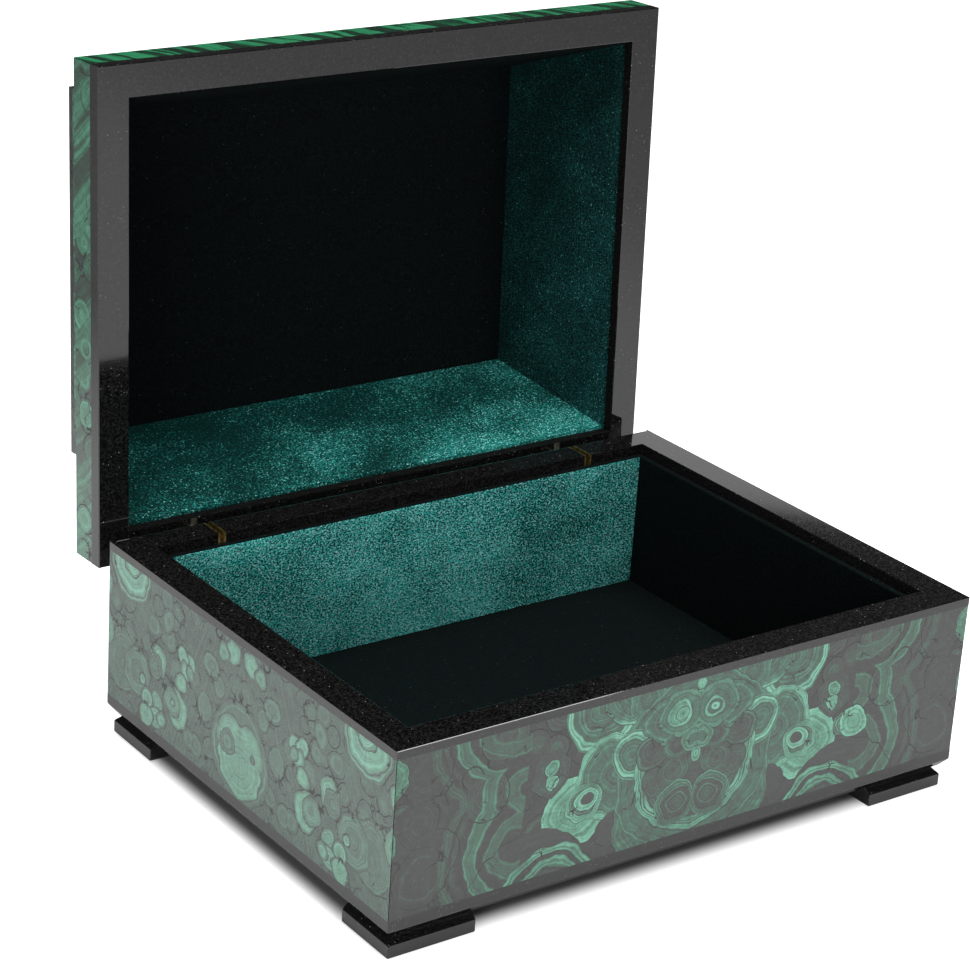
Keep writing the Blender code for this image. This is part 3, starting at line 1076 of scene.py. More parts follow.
SIDE_GROWTHS = (
    # Broad dim growths behind the others
    Nodule(0.0, 14.0, 15.5, 0.10, 0.4),
    Nodule(66.0, 15.0, 10.0, 0.08, 0.4),
    Nodule(57.0, 15.0, 8.0, 0.12, 0.6),
    Nodule(54.0, 14.0, 2.2, 0.35, 0.8),
    # The big pale growth in the middle, of two joined lobes, with a dark eye in each half
    Nodule(0.0, 11.5, 11.5, 0.52, 0.2),
    Nodule(5.2, 17.0, 7.4, 0.52, 0.2, joins=True),
    Nodule(6.6, 15.2, 4.3, 0.08, 0.5, Half.LEFT),
    Nodule(7.0, 15.5, 1.8, 0.05, 0.2, Half.RIGHT),
    # The cluster beside it
    Nodule(27.0, 29.5, 3.6, 0.62, 0.2),
    Nodule(31.0, 29.5, 3.8, 0.62, 0.2),
    Nodule(30.0, 26.0, 3.4, 0.58, 0.2),
    Nodule(27.5, 26.5, 2.8, 0.50, 0.2),
    # The crescent and the ringed growth below it
    Nodule(45.0, 23.0, 5.2, 0.52, 0.3),
    Nodule(46.5, 21.0, 4.4, 0.10, 0.5),
    Nodule(32.5, 21.0, 3.2, 0.50, 0.3),
    Nodule(34.5, 12.5, 6.2, 0.52, 0.4),
    Nodule(37.0, 13.5, 4.6, 0.20, 0.8),
    Nodule(37.0, 13.0, 1.5, 0.75, 0.2, Half.LEFT),
    # The cluster at the foot
    Nodule(46.0, 9.5, 3.8, 0.38, 0.4),
    Nodule(51.0, 8.5, 4.0, 0.36, 0.4),
    Nodule(47.0, 4.0, 4.2, 0.48, 0.4),
    Nodule(52.0, 3.0, 4.2, 0.46, 0.4),
    Nodule(43.5, 4.5, 3.0, 0.36, 0.4),
    # The ringed growth in the upper corner
    Nodule(62.0, 45.5, 11.0, 0.28, 0.6),
    Nodule(62.0, 46.0, 9.4, 0.62, 0.4),
    Nodule(61.5, 47.5, 5.0, 0.50, 0.8),
    # Single small growths
    Nodule(5.0, 43.0, 4.0, 0.50, 0.4),
    Nodule(10.0, 41.5, 3.2, 0.34, 0.4),
    Nodule(19.0, 20.0, 4.5, 0.10, 0.3),
    Nodule(12.0, 30.0, 4.0, 0.10, 0.3),
    Nodule(16.0, 34.0, 4.5, 0.10, 0.3),
    Nodule(40.0, 38.0, 4.5, 0.10, 0.3),
    Nodule(48.0, 33.0, 4.0, 0.08, 0.4),
    Nodule(76.0, 36.0, 5.0, 0.48, 0.4),
    Nodule(77.0, 22.0, 6.0, 0.34, 0.4),
)

LONG_FACE = MalachiteFinish(
    "malachite_long", FRONT_GROWTHS, FRONT_SWELLS, FRONT_BANDS, Match.HALVES)
TOP_FACE = MalachiteFinish(
    "malachite_top", FRONT_GROWTHS, FRONT_SWELLS, FRONT_BANDS, Match.QUARTERS, shift=30.0 * MM)
SHORT_FACE = MalachiteFinish(
    "malachite_short", SIDE_GROWTHS, match=Match.HALVES, ground=0.36, cell=8.0 * MM, cell_light=0.16,
    outline=1.4 * MM, ring=0.42, dark=(0.021, 0.047, 0.036), middle=(0.060, 0.132, 0.098),
    light=(0.100, 0.27, 0.185), pale=(0.185, 0.48, 0.345))
LONG_STRIP = MalachiteFinish(
    "malachite_long_strip", slant=0.4, shift=310.0 * MM, cell_light=0.0, warp=3.5 * MM, band=6.0 * MM,
    band_light=0.48, ground=0.27, dark=(0.003, 0.034, 0.016), middle=(0.006, 0.115, 0.045),
    light=(0.022, 0.23, 0.095), pale=(0.060, 0.40, 0.185))
SHORT_STRIP = MalachiteFinish(
    "malachite_short_strip", slant=0.8, shift=830.0 * MM, cell=11.0 * MM, cell_light=0.45,
    band=12.0 * MM, band_light=0.22, outline=1.4 * MM, ground=0.33)

# The velvet's copies, one per level of painted light: pile and valley colours are raised or lowered in place
# of lighting, and the glints are painted highlights.
VELVETS = (
    PaintedLightVelvet(
        Nap.RAISED, valley=(0.001, 0.050, 0.043), pile=(0.046, 0.56, 0.505), painted_glint=(0.54, 1.0, 0.97),
        painted_glint_share=0.56, blur=0.26),
    PaintedLightVelvet(
        Nap.BRUSHED, valley=(0.001, 0.024, 0.021), pile=(0.021, 0.275, 0.240), painted_glint=(0.38, 1.0, 0.94),
        painted_glint_share=0.26, painted_shade=0.75, patches=0.6, blur=0.38),
    PaintedLightVelvet(
        Nap.TURNED, valley=(0.001, 0.009, 0.009), pile=(0.011, 0.104, 0.098), painted_glint=(0.17, 0.50, 0.47),
        painted_glint_share=0.12, painted_shade=1.1, blur=0.5, shade_direction=(0.0, -2.0, -0.6), start=-130.0 * MM, end=-300.0 * MM),
    PaintedLightVelvet(
        Nap.FLAT, valley=(0.0006, 0.0014, 0.0014), pile=(0.0018, 0.0058, 0.0060),
        painted_glint=(0.05, 0.08, 0.08), painted_glint_share=0.004, patches=0.0),
)
HONED_STONE = StoneFinish("honed_stone", polish=0.5, refraction=1.12)
PALE_BRASS = BrassFinish("pale_brass", bright=(0.72, 0.69, 0.60), dull=(0.42, 0.39, 0.30))


class Finishes:
    """Every material of the casket, built once."""

    def __init__(self) -> None:
        """Build the materials."""
        self.stone = StoneFinish().build()
        self.honed = HONED_STONE.build()
        self.brass = BrassFinish().build()
        self.pale_brass = PALE_BRASS.build()
        self.velvet = {finish.nap: finish.build() for finish in VELVETS}
        self.faces = self._by_length(LONG_FACE, SHORT_FACE)
        self.top_face = TOP_FACE.build()
        self.lid_faces = self._by_length(LONG_STRIP, SHORT_STRIP)

    def _by_length(self, long: MalachiteFinish, short: MalachiteFinish) -> dict[Side, Material]:
        """Build two malachites and share them out to the sides.

        Args:
            long: The malachite of the front and the back.
            short: The malachite of the left and the right.

        Returns:
            Each side's material.
        """
        long_material = long.build()
        short_material = short.build()
        return {side: long_material if side.is_long else short_material for side in Side}


@dataclass
class Workshop:
    """Shapes pieces with bmesh and hangs them on their bodies."""

    layout: Layout
    made: list[str] = field(default_factory=list)

    def strip(self, profile: Profile, side: Side, gap: float = 0.0) -> Shape:
        """Run a profile along one side of the casket, mitred at both corners.

        Args:
            profile: Points of inset from the outer face and height.
            side: The side to run along; the strip still lies at the front.
            gap: How far each end stays back from the mitre.

        Returns:
            The strip, along X.
        """
        length, half_span = self.layout.span(side)
        bm = bmesh.new()
        corners = [(length / 2 - inset - gap, inset - half_span, height) for inset, height in profile]
        end = bm.faces.new([bm.verts.new(corner) for corner in corners])
        swept = bmesh.ops.extrude_face_region(bm, geom=[end])
        far = [item for item in swept["geom"] if isinstance(item, bmesh.types.BMVert)]
        bmesh.ops.scale(bm, vec=(-1.0, 1.0, 1.0), verts=far)
        bmesh.ops.recalc_face_normals(bm, faces=bm.faces)
        return bm

    def block(self, low: Sequence[float], high: Sequence[float]) -> Shape:
        """Make a box between two corners.

        Args:
            low: The lowest corner.
            high: The highest corner.

        Returns:
            The box.
        """
        bm = bmesh.new()
        middle = [(a + b) / 2 for a, b in zip(low, high)]
        size = [b - a for a, b in zip(low, high)]
        place = Matrix.Translation(middle) @ Matrix.Diagonal((*size, 1.0))
        bmesh.ops.create_cube(bm, size=1.0, matrix=place)
        return bm

    def soften(self, bm: Shape, edges: Edges, width: float, steps: int = 2) -> None:
        """Round some edges.

        Args:
            bm: The shape.
            edges: The edges to round.
            width: The rounding's width.
            steps: The rounding's facets.
        """
        bmesh.ops.bevel(bm, geom=edges, offset=width, segments=steps, profile=0.5, affect="EDGES",
                        material=-1)

    def sharp_edges(self, bm: Shape) -> Edges:
        """Find a shape's sharp edges."""
        return [edge for edge in bm.edges if edge.calc_face_angle(0.0) > SHARP]

    def level_edges(self, bm: Shape, height: float) -> Edges:
        """Find a shape's edges that lie at one height."""
        return [edge for edge in bm.edges if all(abs(vert.co.z - height) < NEAR for vert in edge.verts)]

    def long_edges(self, bm: Shape, side: Side, corners: Profile) -> Edges:
        """Find a strip's long edges that run through some corners of its profile.

        Args:
            bm: The strip.
            side: The strip's side.
            corners: The corners as inset and height.

        Returns:
            The edges.
        """
        half_span = self.layout.span(side)[1]
        found = []
        for edge in bm.edges:
            first, second = (vert.co for vert in edge.verts)
            if abs(first.y - second.y) > NEAR or abs(first.z - second.z) > NEAR:
                continue
            here = Vector((first.y + half_span, first.z))
            if any((here - Vector(corner)).length < NEAR for corner in corners):
                found.append(edge)
        return found

    def hone(self, bm: Shape, side: Side) -> None:
        """Give a wall's inner face the second finish.

        Args:
            bm: The wall, still along X.
            side: The wall's side.
        """
        inner = self.layout.wall - self.layout.span(side)[1]
        for face in bm.faces:
            if all(abs(vert.co.y - inner) < NEAR for vert in face.verts):
                face.material_index = 1

    def lay_surface(self, bm: Shape, outer: float, base: float) -> None:
        """Give each face of a strip its distance along the side and round from the lower outer edge.

        Args:
            bm: The strip, still along X.
            outer: Where the outer face lies in Y.
            base: The height that counts as zero.
        """
        layer = bm.loops.layers.uv.new(SURFACE_UV)
        for face in bm.faces:
            for loop in face.loops:
                point = loop.vert.co
                loop[layer].uv = (point.x, point.z - base + point.y - outer)

    def place(self, name: str, bm: Shape, material: Material, body: Body, slot: Slot, node: str,
              turn: float = 0.0) -> Piece:
        """Turn a shape into a finished piece on its body.

        Args:
            name: The piece's name.
            bm: The shape, in the base's or the closed lid's own frame.
            material: The piece's finish.
            body: The body that carries it.
            slot: The record's material slot; not used.
            node: The solid that it stands for.
            turn: The turn about Z before it is placed.

        Returns:
            The piece.
        """
        home = self.layout.base_place if body is Body.BASE else self.layout.lid_place
        bmesh.ops.transform(bm, matrix=home @ Matrix.Rotation(turn, 4, "Z"), verts=bm.verts)
        mesh = bpy.data.meshes.new(name)
        bm.to_mesh(mesh)
        bm.free()
        mesh.materials.append(material)
        piece = bpy.data.objects.new(name, mesh)
        bpy.context.scene.collection.objects.link(piece)
        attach(piece, body.value)
        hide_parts(node)
        self.made.append(name)
        return piece

    def cut(self, piece: Piece, boxes: Sequence[Box]) -> None:
        """Cut boxes out of a finished piece.

        Args:
            piece: The piece.
            boxes: The boxes' lowest and highest corners, in the frame of the solids.
        """
        for low, high in boxes:
            tool_mesh = bpy.data.meshes.new("cutter")
            bm = self.block(low, high)
            bm.to_mesh(tool_mesh)
            bm.free()
            tool = bpy.data.objects.new("cutter", tool_mesh)
            bpy.context.scene.collection.objects.link(tool)
            modifier = piece.modifiers.new("slot", "BOOLEAN")
            modifier.object = tool
            modifier.solver = "EXACT"
            graph = bpy.context.evaluated_depsgraph_get()
            shaped = bpy.data.meshes.new_from_object(piece.evaluated_get(graph))
            piece.modifiers.clear()
            piece.data = shaped
            bpy.data.objects.remove(tool, do_unlink=True)


def rectangle(inset: float, bottom: float, thickness: float, top: float) -> Profile:
    """Give a strip's profile as a plain rectangle.

    Args:
        inset: The outer face's inset.
        bottom: The lower edge.
        thickness: The thickness inwards.
        top: The upper edge.

    Returns:
        The profile's corners.
    """
    return [(inset, bottom), (inset + thickness, bottom), (inset + thickness, top), (inset, top)]


def hinge_slots(kind: str, room_below: Sequence[float], room_above: Sequence[float]) -> list[Box]:
    """Give the boxes that the brass of both hinges takes out of a wall.

    Args:
        kind: The name of the brass solids, without their hand.
        room_below: The room left below the solid's lowest corner.
        room_above: The room left above its highest corner.

    Returns:
        The boxes' lowest and highest corners, in the frame of the solids.
    """
    slots = []
    for hand in Hand:
        low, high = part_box(f"{kind}_{hand.value}")
        slots.append((Vector(low) - Vector(room_below), Vector(high) + Vector(room_above)))
    return slots


@dataclass
class Base:
    """The casket's base: bottom plate, feet, walls with their rims, and veneer."""

    layout: Layout
    shop: Workshop
    finishes: Finishes
    rim_height: float = 2.7 * MM
    rear_radius: float = 1.6 * MM
    chamfer_inset: float = 2.0 * MM
    chamfer_height: float = 2.5 * MM
    foot_chamfer: float = 2.5 * MM
    fork_fit: float = 0.12 * MM
    open_room: float = 1.0 * MM

    def build(self) -> None:
        """Build and dress every piece of the base."""
        self._plate()
        for row in Row:
            for hand in Hand:
                self._foot(row, hand)
        fit = self.fork_fit
        room = self.open_room
        slots = hinge_slots("hinge_fork", (fit, room, fit), (fit, room, room))
        for side in Side:
            pieces = (self._wall(side), self._veneer(side))
            if side is Side.BACK:
                for piece in pieces:
                    self.shop.cut(piece, slots)

    @property
    def lip(self) -> float:
        """The lower edge of the rim."""
        return self.layout.rim_top - self.rim_height

    @property
    def wall_foot(self) -> float:
        """The height that the walls stand on."""
        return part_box("bottom_plate")[1][2]

    def _plate(self) -> None:
        """Build the bottom plate with its cut-back lower edge."""
        low, high = self.layout.own_box("bottom_plate")
        bm = self.shop.block(low, high)
        under = min(bm.faces, key=lambda face: face.normal.z)
        bmesh.ops.translate(bm, vec=(0.0, 0.0, self.chamfer_height), verts=under.verts)
        swept = bmesh.ops.extrude_face_region(bm, geom=[under])
        verts = [item for item in swept["geom"] if isinstance(item, bmesh.types.BMVert)]
        bmesh.ops.delete(bm, geom=[under], context="FACES_ONLY")
        size = high - low
        shrink = [1.0 - 2 * self.chamfer_inset / size.x, 1.0 - 2 * self.chamfer_inset / size.y, 1.0]
        bmesh.ops.scale(bm, vec=shrink, verts=verts)
        bmesh.ops.translate(bm, vec=(0.0, 0.0, -self.chamfer_height), verts=verts)
        bmesh.ops.recalc_face_normals(bm, faces=bm.faces)
        hidden = high.z - MM
        lower = [edge for edge in self.shop.sharp_edges(bm) if all(vert.co.z < hidden for vert in edge.verts)]
        self.shop.soften(bm, lower, self.layout.arris)
        self.shop.place("base_plate", bm, self.finishes.stone, Body.BASE, Slot.STONE, "bottom_plate")

    def _foot(self, row: Row, hand: Hand) -> None:
        """Build one low foot with its outer top edges cut back.

        Args:
            row: The pair that it is in.
            hand: Its hand in the pair.
        """
        node = f"foot_{row.value}_{hand.value}"
        low, high = self.layout.own_box(node)
        bm = self.shop.block(low, high)
        out_x = low.x if hand is Hand.LEFT else high.x
        out_y = low.y if row is Row.FRONT else high.y
        top = self.shop.level_edges(bm, high.z)
        outer = [edge for edge in top if self._is_outer(edge, out_x, out_y)]
        self.shop.soften(bm, outer, self.foot_chamfer, steps=1)
        self.shop.soften(bm, self.shop.sharp_edges(bm), self.layout.arris)
        self.shop.place(f"{node}_block", bm, self.finishes.stone, Body.BASE, Slot.STONE, node)

    def _is_outer(self, edge: bmesh.types.BMEdge, out_x: float, out_y: float) -> bool:
        """Tell whether an edge lies on one of a foot's two outer faces.

        Args:
            edge: The edge.
            out_x: Where the outer side lies in X.
            out_y: Where the outer front or rear lies in Y.

        Returns:
            Whether it does.
        """
        on_side = all(abs(vert.co.x - out_x) < NEAR for vert in edge.verts)
        on_face = all(abs(vert.co.y - out_y) < NEAR for vert in edge.verts)
        return on_side or on_face

    def _wall(self, side: Side) -> Piece:
        """Build one wall with its rim, rounded at the rear so that the lid can swing.

        Args:
            side: The wall's side.

        Returns:
            The wall.
        """
        layout = self.layout
        outer = (0.0, layout.rim_top)
        inner = (layout.wall, layout.rim_top)
        profile = [(0.0, self.lip), (layout.veneer, self.lip), (layout.veneer, self.wall_foot),
                   (layout.wall, self.wall_foot), inner, outer]
        bm = self.shop.strip(profile, side)
        if side is Side.BACK:
            self.shop.soften(bm, self.shop.long_edges(bm, side, [outer]), self.rear_radius, steps=5)
            self.shop.soften(bm, self.shop.long_edges(bm, side, [inner]), layout.arris / 2)
        else:
            self.shop.soften(bm, self.shop.long_edges(bm, side, [outer, inner]), layout.arris)
        self.shop.hone(bm, side)
        wall = self.shop.place(f"wall_{side.label}", bm, self.finishes.stone, Body.BASE, Slot.STONE,
                               f"body_wall_{side.label}", side.value)
        wall.data.materials.append(self.finishes.honed)
        return wall

    def _veneer(self, side: Side) -> Piece:
        """Build the malachite on one wall, under its rim.

        Args:
            side: The wall's side.

        Returns:
            The veneer.
        """
        layout = self.layout
        sheet = rectangle(0.0, self.wall_foot, layout.veneer, self.lip)
        bm = self.shop.strip(sheet, side, layout.corner_seam)
        self.shop.lay_surface(bm, -layout.span(side)[1], self.wall_foot)
        return self.shop.place(f"veneer_{side.label}", bm, self.finishes.faces[side], Body.BASE,
                               Slot.MALACHITE, f"body_veneer_{side.label}", side.value)


@dataclass(frozen=True)
class LidSection:
    """The lid's cross-section, closed, with heights from its rim."""

    rim_height: float = 4.5 * MM
    flange_height: float = 14.0 * MM
    slope_run: float = 15.0 * MM
    slope_rise: float = 27.0 * MM
    tier_inset: float = 17.5 * MM
    tier_height: float = 9.5 * MM
    board: float = 1.3 * MM
    board_inset: float = 11.3 * MM
    board_drop: float = 3.5 * MM
    lining_run: float = 13.6 * MM
    lining_rise: float = 40.0 * MM
    fit: float = 0.1 * MM

    @property
    def slope_top(self) -> float:
        """The upper edge of the sloping sides."""
        return self.flange_height + self.slope_rise

    @property
    def top(self) -> float:
        """The top of the lid."""
        return self.slope_top + self.tier_height

    @property
    def panel_bottom(self) -> float:
        """The lower face of the flat velvet board."""
        return self.board_drop + self.lining_rise + self.fit

    def lining_inset(self, height: float) -> float:
        """Give the inset of the sloping boards' velvet at a height."""
        return self.board_inset + (height - self.board_drop) * self.lining_run / self.lining_rise

    def bed_inset(self, height: float) -> float:
        """Give the inset of the stone behind the sloping boards at a height."""
        return self.lining_inset(height) - self.board - self.fit


@dataclass
class Lid:
    """The sloping lid: rim walls, malachite band and slopes, and the raised plate on top."""

    layout: Layout
    section: LidSection
    shop: Workshop
    finishes: Finishes
    root_fit: float = 0.12 * MM

    def build(self) -> None:
        """Build and dress every piece of the lid."""
        for side in Side:
            self._wall(side)
            self._facing(side)
        self._top()
        dress("lid_top_slab", self.finishes.stone)

    def _wall(self, side: Side) -> None:
        """Build one lid wall: the dark rim, the bed of the velvet board and the beds of the malachite.

        Args:
            side: The wall's side.
        """
        layout = self.layout
        section = self.section
        outer = (0.0, 0.0)
        inner = (layout.wall, 0.0)
        shelf = section.board_drop - section.fit
        crown = section.panel_bottom + section.board
        tier_bed = section.tier_inset + layout.veneer
        slope_bed = section.slope_run + layout.veneer
        profile = [outer, inner, (layout.wall, shelf), (section.bed_inset(shelf), shelf)]
        profile += [(section.bed_inset(crown), crown), (tier_bed, crown), (tier_bed, section.slope_top)]
        profile += [(slope_bed, section.slope_top), (layout.veneer, section.flange_height)]
        profile += [(layout.veneer, section.rim_height), (0.0, section.rim_height)]
        bm = self.shop.strip(profile, side)
        self.shop.soften(bm, self.shop.long_edges(bm, side, [outer, inner]), layout.arris)
        self.shop.hone(bm, side)
        wall = self.shop.place(f"lid_rim_{side.label}", bm, self.finishes.stone, Body.LID, Slot.STONE,
                               f"lid_wall_{side.label}", side.value)
        wall.data.materials.append(self.finishes.honed)
        if side is Side.BACK:
            room = [self.root_fit] * 3
            self.shop.cut(wall, hinge_slots("hinge_tongue", room, room))

    def _facing(self, side: Side) -> None:
        """Build the malachite on one side: the band, the slope and the edge of the top plate.

        Args:
            side: The side.
        """
        layout = self.layout
        section = self.section
        foot = section.flange_height
        ridge = (section.slope_run, section.slope_top)
        band = rectangle(0.0, section.rim_height, layout.veneer, foot)
        slope = [(0.0, foot), (layout.veneer, foot), (ridge[0] + layout.veneer, ridge[1]), ridge]
        edge = rectangle(section.tier_inset, section.slope_top, layout.veneer, section.top - layout.veneer)
        pieces = (("lid_band", "lid_veneer", band), ("lid_slant", "lid_slope", slope),
                  ("tier_edge", "tier_veneer", edge))
        for name, node, profile in pieces:
            bm = self.shop.strip(profile, side, layout.corner_seam)
            self.shop.soften(bm, self.shop.long_edges(bm, side, [ridge]), layout.arris)
            self.shop.lay_surface(bm, -layout.span(side)[1], 0.0)
            self.shop.place(f"{name}_{side.label}", bm, self.finishes.lid_faces[side], Body.LID,
                            Slot.MALACHITE, f"{node}_{side.label}", side.value)

    def _top(self) -> None:
        """Build the malachite sheet on top of the lid."""
        layout = self.layout
        top = self.section.top
        half_x = layout.width / 2 - self.section.tier_inset
        half_y = layout.depth / 2 - self.section.tier_inset
        bm = self.shop.block((-half_x, -half_y, top - layout.veneer), (half_x, half_y, top))
        self.shop.soften(bm, self.shop.level_edges(bm, top), layout.arris)
        self.shop.lay_surface(bm, 0.0, top)
        self.shop.place("tier_top", bm, self.finishes.top_face, Body.LID, Slot.MALACHITE, "lid_top_veneer")


@dataclass
class Lining:
    """Velvet boards in the base and in the lid."""

    layout: Layout
    section: LidSection
    shop: Workshop
    finishes: Finishes
    fit: float = 0.1 * MM
    board: float = 2.2 * MM
    drop: float = 3.2 * MM
    edge: float = 0.45 * MM
    lid_edge: float = 0.4 * MM
    edge_steps: int = 3
    facing_up: float = 0.3

    def build(self) -> None:
        """Build and dress every velvet board."""
        # Which velvet copy each board gets, by how much painted light or painted shade its colour carries.
        base_light_levels = {
            Side.FRONT: Nap.TURNED,
            Side.RIGHT: Nap.FLAT,
            Side.BACK: Nap.RAISED,
            Side.LEFT: Nap.TURNED,
        }
        lid_light_levels = {
            Side.FRONT: Nap.FLAT,
            Side.RIGHT: Nap.TURNED,
            Side.BACK: Nap.BRUSHED,
            Side.LEFT: Nap.TURNED,
        }
        self._base_floor()
        for side in Side:
            self._base_wall(side, base_light_levels[side])
            self._lid_slope(side, lid_light_levels[side])
        self._lid_panel()

    def _base_floor(self) -> None:
        """Build the velvet on the floor of the well."""
        low, high = self.layout.own_box("body_lining_floor")
        bm = self.shop.block(low, high)
        self.shop.soften(bm, self.shop.level_edges(bm, high.z), self.edge, self.edge_steps)
        # The well's floor gets the velvet copy in painted shade.
        self._pad("floor_velvet", bm, Nap.FLAT, Body.BASE, "body_lining_floor")

    def _base_wall(self, side: Side, nap: Nap) -> None:
        """Build the velvet on one wall of the well, with its upper edge rolled over and painted in shade.

        Args:
            side: The wall's side.
            nap: How much painted light or painted shade is in its colour.
        """
        inset = self.layout.wall + self.fit
        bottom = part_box("body_lining_floor")[1][2] + self.fit
        top = self.layout.rim_top - self.drop
        bm = self.shop.strip(rectangle(inset, bottom, self.board, top), side)
        corners = [(inset + self.board, top), (inset, top)]
        self.shop.soften(bm, self.shop.long_edges(bm, side, corners), self.edge, self.edge_steps)
        # The rolled top edge faces up and gets the velvet copy in painted shade.
        for face in bm.faces:
            face.material_index = int(face.normal.z > self.facing_up)
        node = f"body_lining_{side.label}"
        piece = self._pad(f"well_velvet_{side.label}", bm, nap, Body.BASE, node, side.value)
        piece.data.materials.append(self.finishes.velvet[Nap.FLAT])

    def _lid_slope(self, side: Side, nap: Nap) -> None:
        """Build one steep board inside the lid, with its lower edge rolled over.

        Args:
            side: The board's side.
            nap: How much painted light or painted shade is in its colour.
        """
        section = self.section
        low = section.board_drop
        high = section.board_drop + section.lining_rise
        start = (section.lining_inset(low), low)
        end = (section.lining_inset(high), high)
        profile = [start, end, (end[0] - section.board, high), (start[0] - section.board, low)]
        bm = self.shop.strip(profile, side)
        self.shop.soften(bm, self.shop.long_edges(bm, side, [start]), self.lid_edge, self.edge_steps)
        self._pad(f"lid_velvet_{side.label}", bm, nap, Body.LID, f"lid_lining_{side.label}", side.value)

    def _lid_panel(self) -> None:
        """Build the flat board deep in the lid."""
        section = self.section
        low = section.panel_bottom
        inset = section.bed_inset(low + section.board) + 2 * self.fit
        half_x = self.layout.width / 2 - inset
        half_y = self.layout.depth / 2 - inset
        bm = self.shop.block((-half_x, -half_y, low), (half_x, half_y, low + section.board))
        self.shop.soften(bm, self.shop.level_edges(bm, low), self.lid_edge, self.edge_steps)
        # The deep board gets the velvet copy in painted shade.
        self._pad("lid_panel_velvet", bm, Nap.FLAT, Body.LID, "lid_lining_top")

    def _pad(self, name: str, bm: Shape, nap: Nap, body: Body, node: str, turn: float = 0.0) -> Piece:
        """Place a velvet board.

        Args:
            name: The board's name.
            bm: The board's shape.
            nap: How much painted light or painted shade is in its colour.
            body: The body that carries it.
            node: The solid that it stands for.
            turn: The turn about Z before it is placed.

        Returns:
            The board.
        """
        piece = self.shop.place(name, bm, self.finishes.velvet[nap], body, Slot.VELVET, node, turn)
        return piece


@dataclass
class Hinges:
    """The brass forks, pins and tongues, which keep their solids."""

    finishes: Finishes

    def build(self) -> None:
        """Dress every brass piece."""
        kinds = (("hinge_fork", self.finishes.brass), ("hinge_pin", self.finishes.brass),
                 ("hinge_tongue", self.finishes.pale_brass))
        for kind, material in kinds:
            for hand in Hand:
                dress(f"{kind}_{hand.value}", material)


def dress(node: str, material: Material) -> None:
    """Give a solid that stays a better finish.

    Args:
        node: The solid's name.
        material: The finish.
    """
    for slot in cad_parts[node].material_slots:
        slot.material = material
    log.info("dressed %s", node)


@dataclass(frozen=True)
class Lamp:
    """A soft lamp with its place and its target, in metres, and its power in watts."""

    name: str
    place: tuple[float, float, float]
    target: tuple[float, float, float]
    width: float
    height: float
    power: float

    def hang(self) -> None:
        """Hang the lamp where the camera doesn't see it."""
        data = bpy.data.lights.new(self.name, "AREA")
        data.shape = "RECTANGLE"
        data.size = self.width
        data.size_y = self.height
        data.energy = self.power
        lamp = bpy.data.objects.new(self.name, data)
        bpy.context.scene.collection.objects.link(lamp)
        lamp.location = self.place
        lamp.visible_camera = False
        aim = Vector(self.target) - Vector(self.place)
        lamp.rotation_euler = aim.to_track_quat("-Z", "Y").to_euler()


LAMPS = (
    Lamp(
        "overhead", place=(-0.10, -0.10, 1.6), target=(0.0, 0.0, 0.05), width=1.6, height=1.6, power=36.0),
    Lamp(
        "front_left", place=(-1.6, -1.2, 0.40), target=(0.0, 0.0, 0.08), width=0.9, height=0.9, power=12.0),
    Lamp(
        "front_right", place=(0.9, -1.8, 0.34), target=(0.0, 0.0, 0.08), width=0.5, height=0.5, power=7.0),
    Lamp(
        "rear_right", place=(1.63, 1.45, 0.82), target=(0.1, 0.0, 0.06), width=0.7, height=0.2, power=0.36),
)


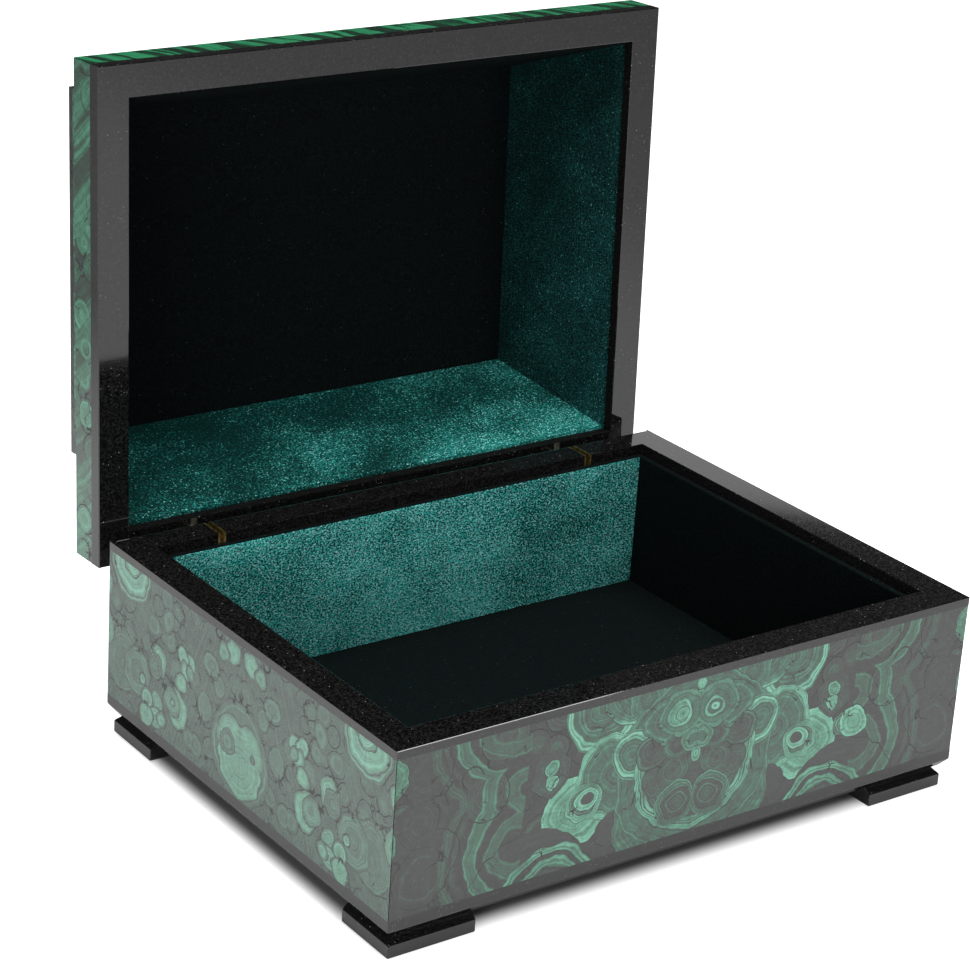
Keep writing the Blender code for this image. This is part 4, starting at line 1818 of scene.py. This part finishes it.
@dataclass
class Studio:
    """The pale floor, the soft lamps, the surroundings and the camera."""

    layout: Layout
    floor_size: float = 14.0
    floor_drop: float = 0.2 * MM
    floor_tone: float = 0.90
    lift: float = 0.75
    lift_range: Range = (-9.5 * MM, -1.5 * MM)
    # In mirrors the floor is painted darker far behind the casket and to its right, standing in for shade
    # there.
    mirror_fade: float = 0.62
    rear_range: Range = (0.20, 0.42)
    right_range: Range = (0.28, 0.50)
    right_shadow_share: float = 0.50
    # The painted shadow under the casket, seen by the camera alone: its range past the outline, its depth at
    # the front and at the sides, its spread at the sides and the blend at the corners.
    painted_shadow_range: Range = (-14.0 * MM, 1.0 * MM)
    front_shade: float = 0.83
    side_shade: float = 0.60
    side_spread: float = 2.8 * MM
    corner: float = 4.0 * MM
    room: Colour = (0.10, 0.10, 0.105)
    mirrored_room: Colour = (0.03, 0.03, 0.03)
    backdrop: Colour = (1.0, 1.0, 1.0)
    eye: tuple[float, float, float] = (-0.4745, -0.6013, 0.3968)
    azimuth: float = radians(35.92)
    elevation: float = radians(20.42)
    roll: float = radians(3.36)
    focal_pixels: float = 2874.0
    picture: float = 970.0
    picture_middle: tuple[float, float] = (440.0, 400.0)
    sensor: float = 36.0

    def build(self) -> None:
        """Set up the whole studio."""
        bpy.context.scene.view_settings.view_transform = "Standard"
        self._floor()
        self._surroundings()
        for lamp in LAMPS:
            lamp.hang()
        self._camera()

    def _floor(self) -> None:
        """Lay a plain white floor that keeps the casket's cast shadow, deepened by a painted shadow under it.
        """
        bm = bmesh.new()
        bmesh.ops.create_grid(bm, x_segments=1, y_segments=1, size=self.floor_size / 2)
        bmesh.ops.translate(bm, vec=(0.0, 0.0, -self.floor_drop), verts=bm.verts)
        mesh = bpy.data.meshes.new("floor")
        bm.to_mesh(mesh)
        bm.free()
        mesh.materials.append(self._floor_finish())
        floor = bpy.data.objects.new("floor", mesh)
        bpy.context.scene.collection.objects.link(floor)

    def _floor_finish(self) -> Material:
        """Make the floor white to the camera, with a painted shadow under the casket, and painted darker far
        off and to the right in mirrors.

        Returns:
            The material.
        """
        board = NodeBoard("pale_floor")
        path = board.nodes.new("ShaderNodeLightPath")
        seen = path.outputs["Is Camera Ray"]
        mirrored = board.math("MAXIMUM", path.outputs["Is Glossy Ray"], path.outputs["Is Transmission Ray"])
        across, back, _ = board.split(board.object_point())
        # Painted shade seen in mirrors: the floor darkens far off behind and to the right, for reflected rays
        # only.
        beside = board.product(board.ease(across, *self.right_range), self.right_shadow_share)
        dim = board.math("MAXIMUM", board.ease(back, *self.rear_range), beside)
        painted_mirror_darkening = board.product(mirrored, dim, -self.mirror_fade * self.floor_tone)
        tone = board.math("ADD", painted_mirror_darkening, self.floor_tone)
        # Painted shadow: the floor's colour is darkened under and just past the casket's outline, for camera
        # rays only.
        half_width = self.layout.width / 2 + self.side_spread
        beyond_side = board.math("SUBTRACT", board.math("ABSOLUTE", across), half_width)
        forward = board.math("ABSOLUTE", board.math("SUBTRACT", back, self.layout.middle.y))
        beyond_front = board.math("SUBTRACT", forward, self.layout.depth / 2)
        beyond = board.math("MAXIMUM", beyond_side, beyond_front)
        sideways = board.math("SUBTRACT", beyond_side, beyond_front)
        deepest_painted_shadow = board.ease(sideways, -self.corner, self.corner, self.front_shade, self.side_shade)
        shade = board.product(board.ease(beyond, *self.painted_shadow_range, deepest_painted_shadow, 0.0), seen)
        tone = board.product(tone, board.math("SUBTRACT", 1.0, shade))
        lift = board.product(board.ease(beyond, *self.lift_range), self.lift, seen)
        return board.finish(Base_Color=board.join(tone, tone, tone), Roughness=0.9, Specular_IOR_Level=0.0,
                            Emission_Color=self.backdrop, Emission_Strength=lift)

    def _surroundings(self) -> None:
        """Put a dim studio round the table, white where the camera looks straight at it."""
        world = bpy.data.worlds.new("studio")
        bpy.context.scene.world = world
        world.use_nodes = True
        nodes = world.node_tree.nodes
        links = world.node_tree.links
        path = nodes.new("ShaderNodeLightPath")
        first, second, result = COLOUR_SOCKETS
        shown: Optional[Socket] = None
        for ray, colour in (("Is Glossy Ray", self.mirrored_room), ("Is Camera Ray", self.backdrop)):
            mix = nodes.new("ShaderNodeMix")
            mix.data_type = "RGBA"
            links.new(path.outputs[ray], mix.inputs["Factor"])
            mix.inputs[first].default_value = (*self.room, 1.0)
            mix.inputs[second].default_value = (*colour, 1.0)
            if shown:
                links.new(shown, mix.inputs[first])
            shown = mix.outputs[result]
        links.new(shown, nodes["Background"].inputs["Color"])

    def _camera(self) -> None:
        """Set the camera at the photograph's viewpoint."""
        data = bpy.data.cameras.new("camera")
        data.sensor_width = self.sensor
        data.lens = self.focal_pixels / self.picture * self.sensor
        data.shift_x = (self.picture / 2 - self.picture_middle[0]) / self.picture
        data.shift_y = (self.picture_middle[1] - self.picture / 2) / self.picture
        camera = bpy.data.objects.new("camera", data)
        bpy.context.scene.collection.objects.link(camera)
        turn = Matrix.Rotation(-self.azimuth, 4, "Z") @ Matrix.Rotation(pi / 2 - self.elevation, 4, "X")
        place = Matrix.Translation(Vector(self.eye) + self.layout.middle)
        camera.matrix_world = place @ turn @ Matrix.Rotation(self.roll, 4, "Z")
        bpy.context.scene.camera = camera


def main() -> None:
    """Build the casket's pieces in order, then the studio round it."""
    logging.basicConfig(level=logging.INFO, format="%(name)s: %(message)s")
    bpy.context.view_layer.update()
    layout = Layout()
    section = LidSection()
    shop = Workshop(layout)
    finishes = Finishes()
    Base(layout, shop, finishes).build()
    Lid(layout, section, shop, finishes).build()
    Lining(layout, section, shop, finishes).build()
    Hinges(finishes).build()
    for name in shop.made:
        log.info("made %s", name)
    Studio(layout).build()


if __name__ == "__main__":
    main()
